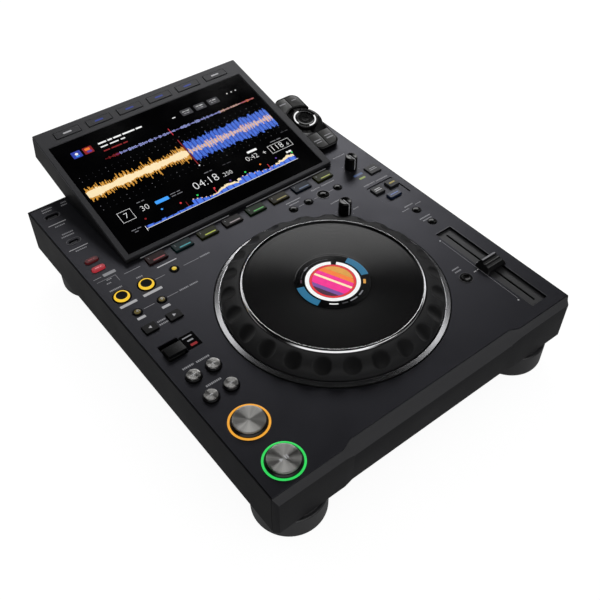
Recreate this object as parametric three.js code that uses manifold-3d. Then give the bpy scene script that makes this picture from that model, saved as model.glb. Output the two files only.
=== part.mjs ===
// Tabletop media player deck: a shallow case on four feet with a large jog wheel,
// a tilted touch display, lit keys, knobs and a long tempo slider.
// Millimetres, X to the right, Y to the back, Z up.
import * as THREE from 'three';
import { mergeVertices } from 'three/addons/utils/BufferGeometryUtils.js';
import Module from 'manifold-3d';

const wasm = await Module();
wasm.setup();

// Clearances
const seam = 0.3;
const keyClearance = 0.35;

// Case
const caseWidth = 330;
const halfWidth = caseWidth / 2;
const fromLeft = (inset) => inset - halfWidth;
const fromRight = (inset) => halfWidth - inset;
const deckHeight = 74;
const caseHeight = 46.8;
const wallThickness = 2.4;
const floorThickness = 2;
const lipThickness = 0.6;
const lipDrop = 0.3;
const seamGroove = 0.5;
const plateThickness = 2.5;
const deckFrontY = -198.9;
const deckBackY = 198.9;
const rearPanelThickness = 2.4;

// Front cover: bevelled, set back in its middle
const bevelRun = 4.8;
const bevelDrop = 7.2;
const recessBevelRun = 7.3;
const recessBevelDrop = 12.8;
const recessSetback = 4.1;
const recessLeftX = -88;
const recessRightX = 91;
const recessSlope = 9;
const cornerChamfer = 3.5;
const coverTopThickness = 4.4;

// Feet
const footRadius = 31.8;
const footHeight = 26.9;
const footEdge = 2;
const footEdgeShare = 0.3;
const footNeckRadius = 28.5;
const footNeckHeight = 2.4;
const footX = fromRight(34.6);
const footFrontY = -174.6;
const footBackY = 156;

// Display
const displayLeftX = -125.2;
const displayFrontY = 77.05;
const displayFrontZ = 5;
const displayLength = 180;
const displayThickness = 29.3;
const displayTilt = THREE.MathUtils.degToRad(12.52);
const displayWall = 2.5;
const bezelThickness = 3;
const glassInsetX = 6;
const glassWidth = 230.7;
const glassMarginX = 8.2;
const displayRightX = displayLeftX + glassInsetX + glassWidth + glassMarginX;
const glassFrontV = 4.3;
const glassDepth = 152.9;
const glassThickness = 1.8;
const glassSunk = 0.3;
const glassLedge = 2;
const displayKeyCount = 6;
const displayKeyFirstX = -105.9;
const displayKeyPitch = 35.8;
const displayKeyWidth = 27;
const displayKeyFrontV = 164;
const displayKeyDepth = 8.5;
const displayKeyStand = 0.5;
const keyMatThickness = 1.3;
const cableSlotX = 0;
const cableSlotY = 140;
const cableSlotWidth = 60;
const cableSlotDepth = 12;

// Selector island beside the display, on a plane parallel to the display's face
const islandGap = 1.3;
const islandWidth = 31.4;
const islandLeftX = displayRightX + islandGap;
const islandRightX = islandLeftX + islandWidth;
const islandFrontV = 22;
const islandBackV = 106;
const islandDrop = 5;
const islandWall = 1.6;
const islandTop = 2.4;
const islandCorner = 9;
const islandBaseW = -45;
const dialV = 67;
const dialWellRadius = 20.5;
const dialWellDepth = 2.6;
const dialGap = 2.2;
const dialRadius = 14.2;
const dialHeight = 3.2;
const dialEdge = 1.2;
const dialTopRecess = 0.8;
const dialRingRadius = 12.6;
const dialCapRadius = 10.4;
const dialRingSlope = 0.3;
const dialCapSlope = 0.5;
const stemRadius = 3;
const stemFlangeRadius = 5.2;
const stemFlangeThickness = 1.2;
const stemTail = 2;
const dialRoof = 1.8;
const islandKeyReach = 21;
const islandKeyGroove = 1;
const islandKeyStand = 0.4;

// Jog wheel
const jogY = -68.7;
const jogHoleRadius = 105.2;
const jogDishRadius = 104.9;
const jogRimInner = 99.5;
const jogRimHeight = 0.7;
const jogDishDepth = 8.5;
const jogDishFloor = 2.5;
const jogDishFlange = 3.1;
const jogFlangeThickness = 2;
const jogGripRadius = 99;
const jogGripTop = 15.8;
const jogGripInner = 82.2;
const jogGripFoot = 95;
const jogGripShelfInner = 60;
const jogGripWall = 4;
const jogGripSteps = 5;
const jogGripSwell = 0.9;
const jogGripFall = 0.8;
const jogShelfThickness = 2.5;
const jogTrimWidth = 2.8;
const jogTrimHeight = 2;
const jogTrimEdge = 2.1;
const jogPlatterTop = 16;
const jogPlatterThickness = 2.5;
const jogDimpleCount = 24;
const jogDimpleRadius = 11;
const jogDimpleSpacingRadius = 99.7;
const jogDimpleHeight = 17.3;
const jogDimpleLean = THREE.MathUtils.degToRad(42);
const hubRadius = 12;
const hubWebTop = 4;
const hubWebThickness = 2;
const postRadius = 8;
const postHeadRadius = 30;
const postHeadThickness = 4.7;
const postFootRadius = 20;
const postFootThickness = 2;
const centreDisplayRadius = 33.6;
const centreDisplayThickness = 3.2;
const centreDisplayRise = 0.2;

// Keys in the deck: how they sit and move
const keyFlange = 1.2;
const keyFlangeThickness = 1.2;
const keyHeight = 1.6;
const keyRound = 1;
const keyEdge = 0.4;
const hotCueCount = 8;
const hotCueLeftX = -109;
const hotCuePitch = 28.44;
const hotCueWidth = 19.8;
const hotCueDepth = 10.7;
const hotCueY = 67.15;
const hotCueHeight = 1.8;

// Transport buttons
const transportX = fromLeft(26.8);
const cueY = -135;
const playY = -179;
const transportRadius = 15;
const transportDiscRadius = 13.4;
const transportHeight = 4;
const transportSkirtHeight = 2.2;
const transportRimWidth = 1.7;
const transportRimHeight = 0.5;
const searchRadius = 6.6;
const searchHeight = 3.4;
const searchOuterX = fromLeft(17.3);
const searchInnerX = fromLeft(36.4);
const trackY = -71.8;
const searchY = -97.2;

// Direction lever
const leverLeftX = fromLeft(10.8);
const leverRightX = fromLeft(27.6);
const leverY = -37;
const leverHoleReach = 10.1;
const leverHoleSide = 0.8;
const leverRadius = 9.2;
const leverPivotDrop = 8;
const leverPivotRadius = 1.5;
const leverPaddleReach = 8.4;
const leverPaddleLow = 0.9;
const leverPaddleHigh = 4.4;
const leverPaddleBack = 2;
const leverDepth = 3;
const earThickness = 1.8;
const earHalfWidth = 4;

// Keys and buttons on the left
const beatJumpY = -5;
const beatJumpBackX = fromLeft(16.6);
const beatJumpForwardX = fromLeft(40.6);
const beatJumpWidth = 12.5;
const beatJumpDepth = 10;
const loopY = 43;
const loopInX = fromLeft(16.2);
const loopOutX = fromLeft(41.1);
const loopRadius = 8.2;
const loopCapRadius = 4.7;
const loopHeight = 1.2;
const loopCapHeight = 2.4;
const smallButtonRadius = 4.2;
const smallButtonHeight = 1.4;
const beatLoopY = 18;
const beatLoopFourX = fromLeft(17.4);
const beatLoopEightX = fromLeft(42);
const reloopX = fromLeft(71.3);
const reloopY = 44.5;
const pillX = fromLeft(17);
const pillWidth = 13;
const pillDepth = 6;
const slipY = 101;
const quantizeY = 87.7;

// Memory sockets in the deck
const socketX = fromLeft(16.5);
const socketY = 181.4;
const socketWidth = 13.4;
const socketHeight = 5.4;
const smallSocketY = 135.5;
const smallSocketWidth = 9.4;
const smallSocketHeight = 3.6;
const socketDepth = 9;
const socketWall = 1.3;
const socketRimWidth = 0.8;
const socketRimHeight = 0.6;

// Keys, knobs and buttons on the right
const memoryRadius = 4.3;
const memoryY = 44.4;
const memoryFirstX = 44.5;
const memoryPitch = 18.9;
const memoryCount = 4;
const knobRadius = 6.75;
const knobHeight = 15.5;
const knobShaftRadius = 3;
const knobFlangeRadius = 4.2;
const knobEdge = 0.7;
const vinylKnobX = fromRight(32);
const vinylKnobY = 61;
const jogKnobX = 81;
const jogKnobY = 9.5;
const modeKeyX = fromRight(15.8);
const modeKeyY = 44.8;
const modeKeyWidth = 14.4;
const modeKeyDepth = 12.5;
const syncFrameLeftX = fromRight(42.5);
const syncFrameRightX = fromRight(9);
const syncFrameFrontY = -5.8;
const syncFrameBackY = 24;
const syncFrameDepth = 0.8;
const syncKeyWidth = 12.4;
const syncKeyDepth = 10.4;
const syncBackY = 15.4;
const syncLeftX = fromRight(35);
const syncRightX = fromRight(15.8);
const masterKeyX = fromRight(25.8);
const masterKeyY = 0.8;
const masterKeyWidth = 15;
const masterKeyDepth = 7.6;
const tempoButtonX = fromRight(25);
const resetX = fromRight(56.4);
const resetY = -127.8;

// Tempo slider
const faderX = fromRight(26.3);
const faderY = -128.3;
const faderTravel = 100;
const faderTroughWidth = 19;
const faderTroughLength = 119.3;
const tempoButtonGap = 15.85;
const tempoButtonPitch = 21.9;
const tempoRangeY = faderY + faderTroughLength / 2 + tempoButtonGap;
const masterTempoY = tempoRangeY + tempoButtonPitch;
const faderTroughDepth = 4;
const faderTroughWall = 1.2;
const faderSlotWidth = 4;
const faderStemWidth = 2.8;
const faderStemLength = 8;
const faderCapWidth = 24.4;
const faderCapLength = 13.6;
const faderCapHeight = 8;
const faderCapDip = 2.4;
const faderCapSlope = 0.8;
const faderCapLip = 2.6;
const faderRidgeFoot = 1;
const faderRidgeHalf = 0.5;
const faderCapGap = 0.5;
const faderFlange = 2;

// Inside
const boardHalfWidth = 120;
const boardFrontY = -185;
const boardBackY = 85;
const boardThickness = 1.6;
const boardDrop = 22.4;
const bossRadius = 4;
const bossInset = 12;
const supplyLeftX = fromLeft(15);
const supplyWidth = 84;
const supplyFrontY = 100;
const supplyLength = 84;
const supplyHeight = 24;

// Rear panel
const inletX = fromLeft(45);
const inletZ = -27;
const inletWidth = 28;
const inletHeight = 21;
const inletDepth = 13;
const inletWall = 1.6;
const inletPinWidth = 4;
const inletPinHeight = 2;
const inletPinPitch = 7;
const inletPinLength = 10;
const powerX = fromLeft(80);
const powerZ = -27;
const powerWidth = 13;
const powerHeight = 9;
const powerStand = 3;
const rearSocketZ = -27;
const networkX = -20;
const networkWidth = 15.5;
const networkHeight = 13;
const computerX = 15;
const computerWidth = 12;
const computerHeight = 11;
const jackRadius = 4.2;
const jackBoreRadius = 1.7;
const jackCollarRadius = 6;
const jackCollarHeight = 1.5;
const jackLength = 9;
const jackPlaces = [60, 90, 112];
const jackBoreDepth = 7;
const rearSocketDepth = 9;

// Worked-out places
const plateHalfWidth = halfWidth - lipThickness - seamGroove;
const innerHalfWidth = halfWidth - wallThickness;
const caseBottom = -caseHeight;
const floorTop = caseBottom + floorThickness;
const ledgeZ = -(plateThickness + seam);
const flangeBottom = ledgeZ - keyFlangeThickness;
const frontFaceY = deckFrontY - bevelRun;
const frontReachY = Math.min(frontFaceY, footFrontY - footRadius);
const chassisFrontY = deckFrontY + seam;
const chassisBackY = deckBackY - seam;
const tiltSin = Math.sin(displayTilt);
const tiltCos = Math.cos(displayTilt);
const displayTopBackY = displayFrontY + displayLength * tiltCos;
const displayTopBackZ = displayFrontZ + displayLength * tiltSin;
const displayLowBackY = displayTopBackY + displayThickness * tiltSin;
const displayLowBackZ = displayTopBackZ - displayThickness * tiltCos;
const underRun = (displayLowBackZ - seam) / Math.tan(displayTilt);
const underStartY = displayLowBackY - underRun;
const glassLeftX = displayLeftX + glassInsetX;
const dialX = (islandLeftX + islandRightX) / 2;
const islandW = -islandDrop;
const islandCeiling = islandW - islandTop;
const wellFloorW = islandW - dialWellDepth;
const jogPlatterBottom = jogPlatterTop - jogPlatterThickness;
const jogShelfTop = jogPlatterBottom - seam;
const jogTrimInner = jogGripInner - seam - jogTrimWidth;
const dishBottom = -(jogDishDepth + jogDishFloor);
const centreDisplayBottom = jogPlatterTop + centreDisplayRise - centreDisplayThickness;
const platterInner = centreDisplayRadius + 2 * seam;
const boardTop = -boardDrop;

// Shapes on a plane
function outline(points) {
  return new THREE.Shape(points.map(([x, y]) => new THREE.Vector2(x, y)));
}

function rectangle(left, right, low, high, round = 0) {
  if (round === 0) {
    return outline([[left, low], [right, low], [right, high], [left, high]]);
  }
  const shape = new THREE.Shape();
  shape.absarc(right - round, low + round, round, -Math.PI / 2, 0);
  shape.absarc(right - round, high - round, round, 0, Math.PI / 2);
  shape.absarc(left + round, high - round, round, Math.PI / 2, Math.PI);
  shape.absarc(left + round, low + round, round, Math.PI, 1.5 * Math.PI);
  shape.closePath();
  return shape;
}

function centred(x, y, width, depth, round = 0) {
  return rectangle(x - width / 2, x + width / 2, y - depth / 2, y + depth / 2, round);
}

function roundHole(x, y, radius, sides = 20) {
  const points = [];
  for (let i = 0; i < sides; i += 1) {
    const angle = (2 * Math.PI * i) / sides;
    points.push(new THREE.Vector2(x + radius * Math.cos(angle), y + radius * Math.sin(angle)));
  }
  return new THREE.Shape(points);
}

// Solids
function extrudeZ(shape, low, high, curveSegments = 4) {
  const depth = high - low;
  const geometry = new THREE.ExtrudeGeometry(shape, { depth, bevelEnabled: false, curveSegments });
  return geometry.translate(0, 0, low);
}

function extrudeX(shape, left, right) {
  const turn = new THREE.Matrix4().makeBasis(
    new THREE.Vector3(0, 1, 0),
    new THREE.Vector3(0, 0, 1),
    new THREE.Vector3(1, 0, 0),
  );
  return extrudeZ(shape, left, right).applyMatrix4(turn);
}

function extrudeY(shape, front, back) {
  const turn = new THREE.Matrix4().makeBasis(
    new THREE.Vector3(1, 0, 0),
    new THREE.Vector3(0, 0, 1),
    new THREE.Vector3(0, -1, 0),
  );
  return extrudeZ(shape, -back, -front).applyMatrix4(turn);
}

function box(left, right, front, back, low, high) {
  return extrudeZ(rectangle(left, right, front, back), low, high);
}

// A profile of [radius, height] pairs turned about an upright axis at x, y
function turned(profile, x, y, sides = 20) {
  const points = profile.map(([radius, height]) => new THREE.Vector2(radius, height));
  const geometry = new THREE.LatheGeometry(points, sides);
  return geometry.rotateX(Math.PI / 2).translate(x, y, 0);
}

function disc(x, y, radius, low, high, sides = 20) {
  return turned([[0, low], [radius, low], [radius, high], [0, high]], x, y, sides);
}

function barrel(x, z, radius, front, back, sides = 16) {
  return extrudeY(roundHole(x, z, radius, sides), front, back);
}

// Joins equal rows of points, one row for each station, and closes both ends
function loft(stations) {
  const count = stations[0].length;
  const last = (stations.length - 1) * count;
  const index = [];
  for (let s = 0; s + 1 < stations.length; s += 1) {
    for (let i = 0; i < count; i += 1) {
      const next = (i + 1) % count;
      const a = s * count + i;
      const b = s * count + next;
      index.push(a, b, b + count, a, b + count, a + count);
    }
  }
  for (let i = 1; i + 1 < count; i += 1) {
    index.push(0, i + 1, i);
    index.push(last, last + i, last + i + 1);
  }
  const geometry = new THREE.BufferGeometry();
  geometry.setAttribute('position', new THREE.Float32BufferAttribute(stations.flat(2), 3));
  geometry.setIndex(index);
  return geometry;
}

// One closed mesh with shared vertices, no flat triangles and its faces pointing out
function closed(geometry) {
  if (geometry.userData.closed) return geometry;
  const bare = geometry.clone();
  bare.deleteAttribute('normal');
  bare.deleteAttribute('uv');
  const merged = mergeVertices(bare, 1e-4);
  const place = merged.attributes.position;
  const corner = [new THREE.Vector3(), new THREE.Vector3(), new THREE.Vector3()];
  const kept = [];
  let volume = 0;
  for (let t = 0; t < merged.index.count; t += 3) {
    const ids = [0, 1, 2].map((i) => merged.index.getX(t + i));
    if (new Set(ids).size < 3) continue;
    ids.forEach((id, i) => corner[i].fromBufferAttribute(place, id));
    volume += corner[0].dot(corner[1].clone().cross(corner[2]));
    kept.push(ids);
  }
  if (volume < 0) kept.forEach((ids) => ids.reverse());
  merged.setIndex(kept.flat());
  return merged;
}

function solid(geometry) {
  const mesh = closed(geometry);
  const vertProperties = new Float32Array(mesh.attributes.position.array);
  const triVerts = new Uint32Array(mesh.index.array);
  return new wasm.Manifold(new wasm.Mesh({ numProp: 3, vertProperties, triVerts }));
}

function geometryOf(manifold) {
  const mesh = manifold.getMesh();
  const geometry = new THREE.BufferGeometry();
  geometry.setAttribute('position', new THREE.BufferAttribute(mesh.vertProperties, 3));
  geometry.setIndex(new THREE.BufferAttribute(mesh.triVerts, 1));
  geometry.userData.closed = true;
  return geometry;
}

function cut(base, ...tools) {
  return geometryOf(tools.reduce((left, tool) => left.subtract(solid(tool)), solid(base)));
}

function join(base, ...others) {
  return geometryOf(others.reduce((whole, other) => whole.add(solid(other)), solid(base)));
}

// A flat plate with every hole cut right through
function drilled(shape, low, high, holes) {
  return cut(extrudeZ(shape, low, high), ...holes.map((hole) => extrudeZ(hole, low - 1, high + 1, 3)));
}

function common(base, other) {
  return geometryOf(solid(base).intersect(solid(other)));
}

// The scene: the deck surface is at height zero inside the deck group
const player = new THREE.Group();
const deck = new THREE.Group();
deck.position.set(0, -(frontReachY + displayLowBackY) / 2, deckHeight);
player.add(deck);

const tilted = new THREE.Group();
tilted.position.set(0, displayFrontY, displayFrontZ);
tilted.rotation.x = displayTilt;
deck.add(tilted);
tilted.updateMatrix();

const finishes = {
  deckMetal: [0x45454b, 0.45, 0.6],
  caseMetal: [0x35353a, 0.5, 0.5],
  darkPlastic: [0x1b1b1e, 0.5, 0],
  footRubber: [0x2c2c2f, 0.8, 0],
  bezel: [0x55565a, 0.45, 0.2],
  glass: [0x07070a, 0.1, 0],
  silver: [0xc9c9cc, 0.25, 0.9],
  rimSilver: [0x8e8e92, 0.4, 0.7],
  spunMetal: [0xa9a7a8, 0.3, 0.9],
  matteBlack: [0x141416, 0.6, 0],
  platter: [0x101012, 0.35, 0.3],
  board: [0x1f5a38, 0.6, 0],
  white: [0xd8d8d8, 0.5, 0],
};

function piece(name, geometry, finish, parent = deck) {
  const [color, roughness, metalness] = finishes[finish];
  const material = new THREE.MeshStandardMaterial({ color, roughness, metalness });
  const mesh = new THREE.Mesh(closed(geometry), material);
  mesh.name = name;
  parent.add(mesh);
}

// Case: floor and side walls in one channel, with a ledge for the plate and board bosses
function chassis() {
  const wall = [
    [halfWidth, caseBottom],
    [halfWidth, -(lipDrop + lipThickness)],
    [halfWidth - lipThickness, -lipDrop],
    [halfWidth - lipThickness, ledgeZ],
    [innerHalfWidth, ledgeZ],
    [innerHalfWidth, floorTop],
  ];
  const mirrored = wall.map(([x, z]) => [-x, z]).reverse();
  const channel = extrudeY(outline([...wall, ...mirrored]), chassisFrontY, chassisBackY);
  const bosses = [];
  for (const x of [-boardHalfWidth + bossInset, boardHalfWidth - bossInset]) {
    for (const y of [boardFrontY + bossInset, boardBackY - bossInset]) {
      const top = boardTop - boardThickness - seam;
      bosses.push(disc(x, y, bossRadius, floorTop - floorThickness / 2, top, 12));
    }
  }
  return join(channel, ...bosses);
}

// The front seam and bevel at each station across the width
function frontStations() {
  const corner = halfWidth - cornerChamfer;
  const end = { seamY: deckFrontY, faceY: frontFaceY, faceZ: -bevelDrop };
  const chamfer = { seamY: deckFrontY, faceY: frontFaceY + cornerChamfer, faceZ: -bevelDrop };
  const recessSeamY = deckFrontY + recessSetback;
  const middle = { seamY: recessSeamY, faceY: recessSeamY - recessBevelRun, faceZ: -recessBevelDrop };
  return [
    { x: -halfWidth, ...chamfer },
    { x: -corner, ...end },
    { x: recessLeftX - recessSlope, ...end },
    { x: recessLeftX, ...middle },
    { x: recessRightX, ...middle },
    { x: recessRightX + recessSlope, ...end },
    { x: corner, ...end },
    { x: halfWidth, ...chamfer },
  ];
}

function frontCover() {
  const rows = frontStations().map(({ x, seamY, faceY, faceZ }) => {
    // The inner side runs parallel to the bevel where the seam is set back
    const fall = faceZ * (seamY - deckFrontY) / (seamY - faceY);
    return [
      [x, seamY, 0],
      [x, faceY, faceZ],
      [x, faceY, caseBottom],
      [x, deckFrontY, caseBottom],
      [x, deckFrontY, fall - coverTopThickness],
      [x, seamY, -coverTopThickness],
    ];
  });
  return loft(rows);
}

function rearPanel() {
  const panelFront = deckBackY;
  const panelBack = deckBackY + rearPanelThickness;
  const plate = box(-halfWidth, halfWidth, panelFront, panelBack, caseBottom, -lipDrop);
  const sleeve = (x, z, width, height, depth) => {
    const outer = centred(x, z, width + 2 * inletWall, height + 2 * inletWall);
    const inner = centred(x, z, width, height);
    const shell = extrudeY(outer, panelFront - depth, panelFront + rearPanelThickness / 2);
    return { shell, bore: extrudeY(inner, panelFront - depth + inletWall, panelBack + 1) };
  };
  const inlet = sleeve(inletX, inletZ, inletWidth, inletHeight, inletDepth);
  const network = sleeve(networkX, rearSocketZ, networkWidth, networkHeight, rearSocketDepth);
  const computer = sleeve(computerX, rearSocketZ, computerWidth, computerHeight, rearSocketDepth);
  const pins = [-1, 0, 1].map((step) => extrudeY(
    centred(inletX + step * inletPinPitch, inletZ, inletPinHeight, inletPinWidth),
    panelFront - inletDepth + inletWall / 2,
    panelFront - inletDepth + inletWall + inletPinLength,
  ));
  const jacks = jackPlaces.flatMap((x) => [
    barrel(x, rearSocketZ, jackCollarRadius, panelFront + 1, panelBack + jackCollarHeight),
    barrel(x, rearSocketZ, jackRadius, panelFront + 1, panelBack + jackLength),
  ]);
  const bores = jackPlaces.map((x) => barrel(
    x,
    rearSocketZ,
    jackBoreRadius,
    panelBack + jackLength - jackBoreDepth,
    panelBack + jackLength + 1,
    10,
  ));
  const powerHole = extrudeY(
    centred(powerX, powerZ, powerWidth + 2 * keyClearance, powerHeight + 2 * keyClearance),
    panelFront - 1,
    panelBack + 1,
  );
  const shells = join(plate, inlet.shell, network.shell, computer.shell, ...jacks);
  const hollow = cut(shells, inlet.bore, network.bore, computer.bore, powerHole, ...bores);
  return join(hollow, ...pins);
}

function powerButton() {
  const flangeBack = deckBackY - seam;
  const head = extrudeY(
    centred(powerX, powerZ, powerWidth, powerHeight),
    flangeBack - keyFlangeThickness,
    deckBackY + rearPanelThickness + powerStand,
  );
  const flange = extrudeY(
    centred(powerX, powerZ, powerWidth + 2 * keyFlange, powerHeight + 2 * keyFlange),
    flangeBack - keyFlangeThickness,
    flangeBack,
  );
  return join(head, flange);
}

function foot(x, y) {
  const top = caseBottom - seam;
  const bottom = top - footHeight;
  const neck = top - footNeckHeight;
  const half = footEdge * footEdgeShare;
  return turned([
    [0, bottom],
    [footRadius - footEdge, bottom],
    [footRadius - half, bottom + half],
    [footRadius, bottom + footEdge],
    [footRadius, neck],
    [footNeckRadius, neck],
    [footNeckRadius, top],
    [0, top],
  ], x, y, 24);
}

piece('base_chassis', chassis(), 'caseMetal');
piece('front_cover', frontCover(), 'caseMetal');
piece('rear_panel', rearPanel(), 'caseMetal');
piece('power_button', powerButton(), 'darkPlastic');
piece('foot_front_left', foot(-footX, footFrontY), 'footRubber');
piece('foot_front_right', foot(footX, footFrontY), 'footRubber');
piece('foot_back_left', foot(-footX, footBackY), 'footRubber');
piece('foot_back_right', foot(footX, footBackY), 'footRubber');

// Keys that rise through the deck. Each one is listed once, with its hole and its solid.
const deckHoles = [];

function boxKey(name, x, y, width, depth, finish, height = keyHeight, round = keyRound) {
  const hole = centred(x, y, width + 2 * keyClearance, depth + 2 * keyClearance);
  deckHoles.push(hole);
  const head = extrudeZ(centred(x, y, width, depth, round), flangeBottom, height, 2);
  const wide = centred(x, y, width + 2 * keyFlange, depth + 2 * keyFlange);
  piece(name, join(head, extrudeZ(wide, flangeBottom, ledgeZ)), finish);
}

function pillKey(name, x, y, finish) {
  const clearance = 2 * keyClearance;
  deckHoles.push(centred(x, y, pillWidth + clearance, pillDepth + clearance, pillDepth / 2 + keyClearance));
  const head = centred(x, y, pillWidth, pillDepth, pillDepth / 2);
  const wide = centred(x, y, pillWidth + 2 * keyFlange, pillDepth + 2 * keyFlange);
  piece(name, join(extrudeZ(head, flangeBottom, keyHeight), extrudeZ(wide, flangeBottom, ledgeZ)), finish);
}

function roundKey(name, x, y, radius, crown, finish, sides = 16) {
  deckHoles.push(roundHole(x, y, radius + keyClearance, sides));
  piece(name, turned([
    [0, flangeBottom],
    [radius + keyFlange, flangeBottom],
    [radius + keyFlange, ledgeZ],
    [radius, ledgeZ],
    ...crown,
  ], x, y, sides), finish);
}

function plainCrown(radius, height) {
  return [[radius, height - keyEdge], [radius - keyEdge, height], [0, height]];
}

for (let i = 0; i < hotCueCount; i += 1) {
  const x = hotCueLeftX + hotCueWidth / 2 + i * hotCuePitch;
  boxKey(`hot_cue_key_${i + 1}`, x, hotCueY, hotCueWidth, hotCueDepth, 'white', hotCueHeight);
}

const transportCrown = [
  [transportRadius, transportSkirtHeight],
  [transportDiscRadius, transportHeight],
  [0, transportHeight],
];
roundKey('cue_button', transportX, cueY, transportRadius, transportCrown, 'spunMetal', 28);
roundKey('play_button', transportX, playY, transportRadius, transportCrown, 'spunMetal', 28);

const searchCrown = plainCrown(searchRadius, searchHeight);
roundKey('track_back_button', searchOuterX, trackY, searchRadius, searchCrown, 'spunMetal');
roundKey('track_forward_button', searchInnerX, trackY, searchRadius, searchCrown, 'spunMetal');
roundKey('search_back_button', searchOuterX, searchY, searchRadius, searchCrown, 'spunMetal');
roundKey('search_forward_button', searchInnerX, searchY, searchRadius, searchCrown, 'spunMetal');

boxKey('beat_jump_back_key', beatJumpBackX, beatJumpY, beatJumpWidth, beatJumpDepth, 'matteBlack');
boxKey('beat_jump_forward_key', beatJumpForwardX, beatJumpY, beatJumpWidth, beatJumpDepth, 'matteBlack');

const loopCrown = [
  [loopRadius, loopHeight],
  [loopCapRadius, loopHeight],
  [loopCapRadius, loopCapHeight],
  [0, loopCapHeight],
];
roundKey('loop_in_button', loopInX, loopY, loopRadius, loopCrown, 'matteBlack');
roundKey('loop_out_button', loopOutX, loopY, loopRadius, loopCrown, 'matteBlack');

const smallCrown = plainCrown(smallButtonRadius, smallButtonHeight);

function smallButton(name, x, y) {
  roundKey(name, x, y, smallButtonRadius, smallCrown, 'matteBlack', 12);
}

smallButton('beat_loop_four_button', beatLoopFourX, beatLoopY);
smallButton('beat_loop_eight_button', beatLoopEightX, beatLoopY);
smallButton('reloop_button', reloopX, reloopY);
smallButton('master_tempo_button', tempoButtonX, masterTempoY);
smallButton('tempo_range_button', tempoButtonX, tempoRangeY);
smallButton('tempo_reset_button', resetX, resetY);

pillKey('slip_key', pillX, slipY, 'matteBlack');
pillKey('quantize_key', pillX, quantizeY, 'matteBlack');

boxKey('jog_mode_key', modeKeyX, modeKeyY, modeKeyWidth, modeKeyDepth, 'matteBlack');
boxKey('key_sync_key', syncLeftX, syncBackY, syncKeyWidth, syncKeyDepth, 'matteBlack');
boxKey('beat_sync_key', syncRightX, syncBackY, syncKeyWidth, syncKeyDepth, 'matteBlack');
boxKey('master_key', masterKeyX, masterKeyY, masterKeyWidth, masterKeyDepth, 'matteBlack');

// Four small round keys that stand on one mat under the plate
function memoryKeys() {
  const places = [];
  for (let i = 0; i < memoryCount; i += 1) places.push(memoryFirstX + i * memoryPitch);
  places.forEach((x) => deckHoles.push(roundHole(x, memoryY, memoryRadius + keyClearance, 12)));
  const lastX = places[places.length - 1];
  const reach = memoryRadius + keyFlange;
  const mat = box(
    memoryFirstX - reach,
    lastX + reach,
    memoryY - reach,
    memoryY + reach,
    flangeBottom,
    ledgeZ,
  );
  const heads = places.map((x) => disc(x, memoryY, memoryRadius, flangeBottom, smallButtonHeight, 12));
  return join(mat, ...heads);
}

piece('memory_key_mat', memoryKeys(), 'matteBlack');

// A knob on a shaft through the plate
function knob(name, x, y) {
  deckHoles.push(roundHole(x, y, knobShaftRadius + keyClearance, 12));
  piece(name, turned([
    [0, flangeBottom],
    [knobFlangeRadius, flangeBottom],
    [knobFlangeRadius, ledgeZ],
    [knobShaftRadius, ledgeZ],
    [knobShaftRadius, seam],
    [knobRadius, seam],
    [knobRadius, knobHeight - knobEdge],
    [knobRadius - knobEdge, knobHeight],
    [0, knobHeight],
  ], x, y, 16), 'matteBlack');
}

knob('vinyl_speed_knob', vinylKnobX, vinylKnobY);
knob('jog_adjust_knob', jogKnobX, jogKnobY);

// Direction lever: a drum on two stub pins, with a paddle towards the front
function directionLever() {
  const pivotZ = -leverPivotDrop;
  const drum = extrudeX(roundHole(leverY, pivotZ, leverRadius, 28), leverLeftX, leverRightX);
  const leverReach = 2 * leverRadius;
  const below = box(
    leverLeftX - 1,
    leverRightX + 1,
    leverY - leverReach,
    leverY + leverReach,
    caseBottom,
    pivotZ - leverDepth,
  );
  const paddle = box(
    leverLeftX,
    leverRightX,
    leverY - leverPaddleReach,
    leverY + leverPaddleBack,
    leverPaddleLow,
    leverPaddleHigh,
  );
  const reach = leverHoleSide + earThickness - seam;
  const pin = extrudeX(
    roundHole(leverY, pivotZ, leverPivotRadius, 12),
    leverLeftX - reach,
    leverRightX + reach,
  );
  return join(cut(drum, below), paddle, pin);
}

piece('direction_lever', directionLever(), 'matteBlack');

function leverEar(left) {
  const low = -(leverPivotDrop + earHalfWidth);
  const ear = box(left, left + earThickness, leverY - earHalfWidth, leverY + earHalfWidth, low, -1);
  const bore = extrudeX(
    roundHole(leverY, -leverPivotDrop, leverPivotRadius + seam, 12),
    left - 1,
    left + earThickness + 1,
  );
  return cut(ear, bore);
}

// Tempo slider: a cap on a flat stem that runs in the slot of the trough
const faderSlotLength = faderTravel + faderStemLength + 4 * seam;
const troughFloor = -(faderTroughDepth + faderTroughWall);

function faderCap() {
  const half = faderCapLength / 2;
  const low = faderCapGap;
  const dip = faderCapHeight - faderCapDip;
  const side = outline([
    [faderY - half, low],
    [faderY + half, low],
    [faderY + half - faderCapSlope, faderCapHeight],
    [faderY + half - faderCapLip, faderCapHeight],
    [faderY + faderRidgeFoot, dip],
    [faderY + faderRidgeHalf, dip + faderRidgeFoot],
    [faderY - faderRidgeHalf, dip + faderRidgeFoot],
    [faderY - faderRidgeFoot, dip],
    [faderY - half + faderCapLip, faderCapHeight],
    [faderY - half + faderCapSlope, faderCapHeight],
  ]);
  const cap = extrudeX(side, faderX - faderCapWidth / 2, faderX + faderCapWidth / 2);
  const flangeTop = troughFloor - seam;
  const stem = centred(faderX, faderY, faderStemWidth, faderStemLength);
  const foot = centred(faderX, faderY, faderStemWidth + 2 * faderFlange, faderStemLength);
  return join(
    cap,
    extrudeZ(stem, flangeTop - keyFlangeThickness, low + 1),
    extrudeZ(foot, flangeTop - keyFlangeThickness, flangeTop),
  );
}

piece('tempo_fader_cap', faderCap(), 'matteBlack');

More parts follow.
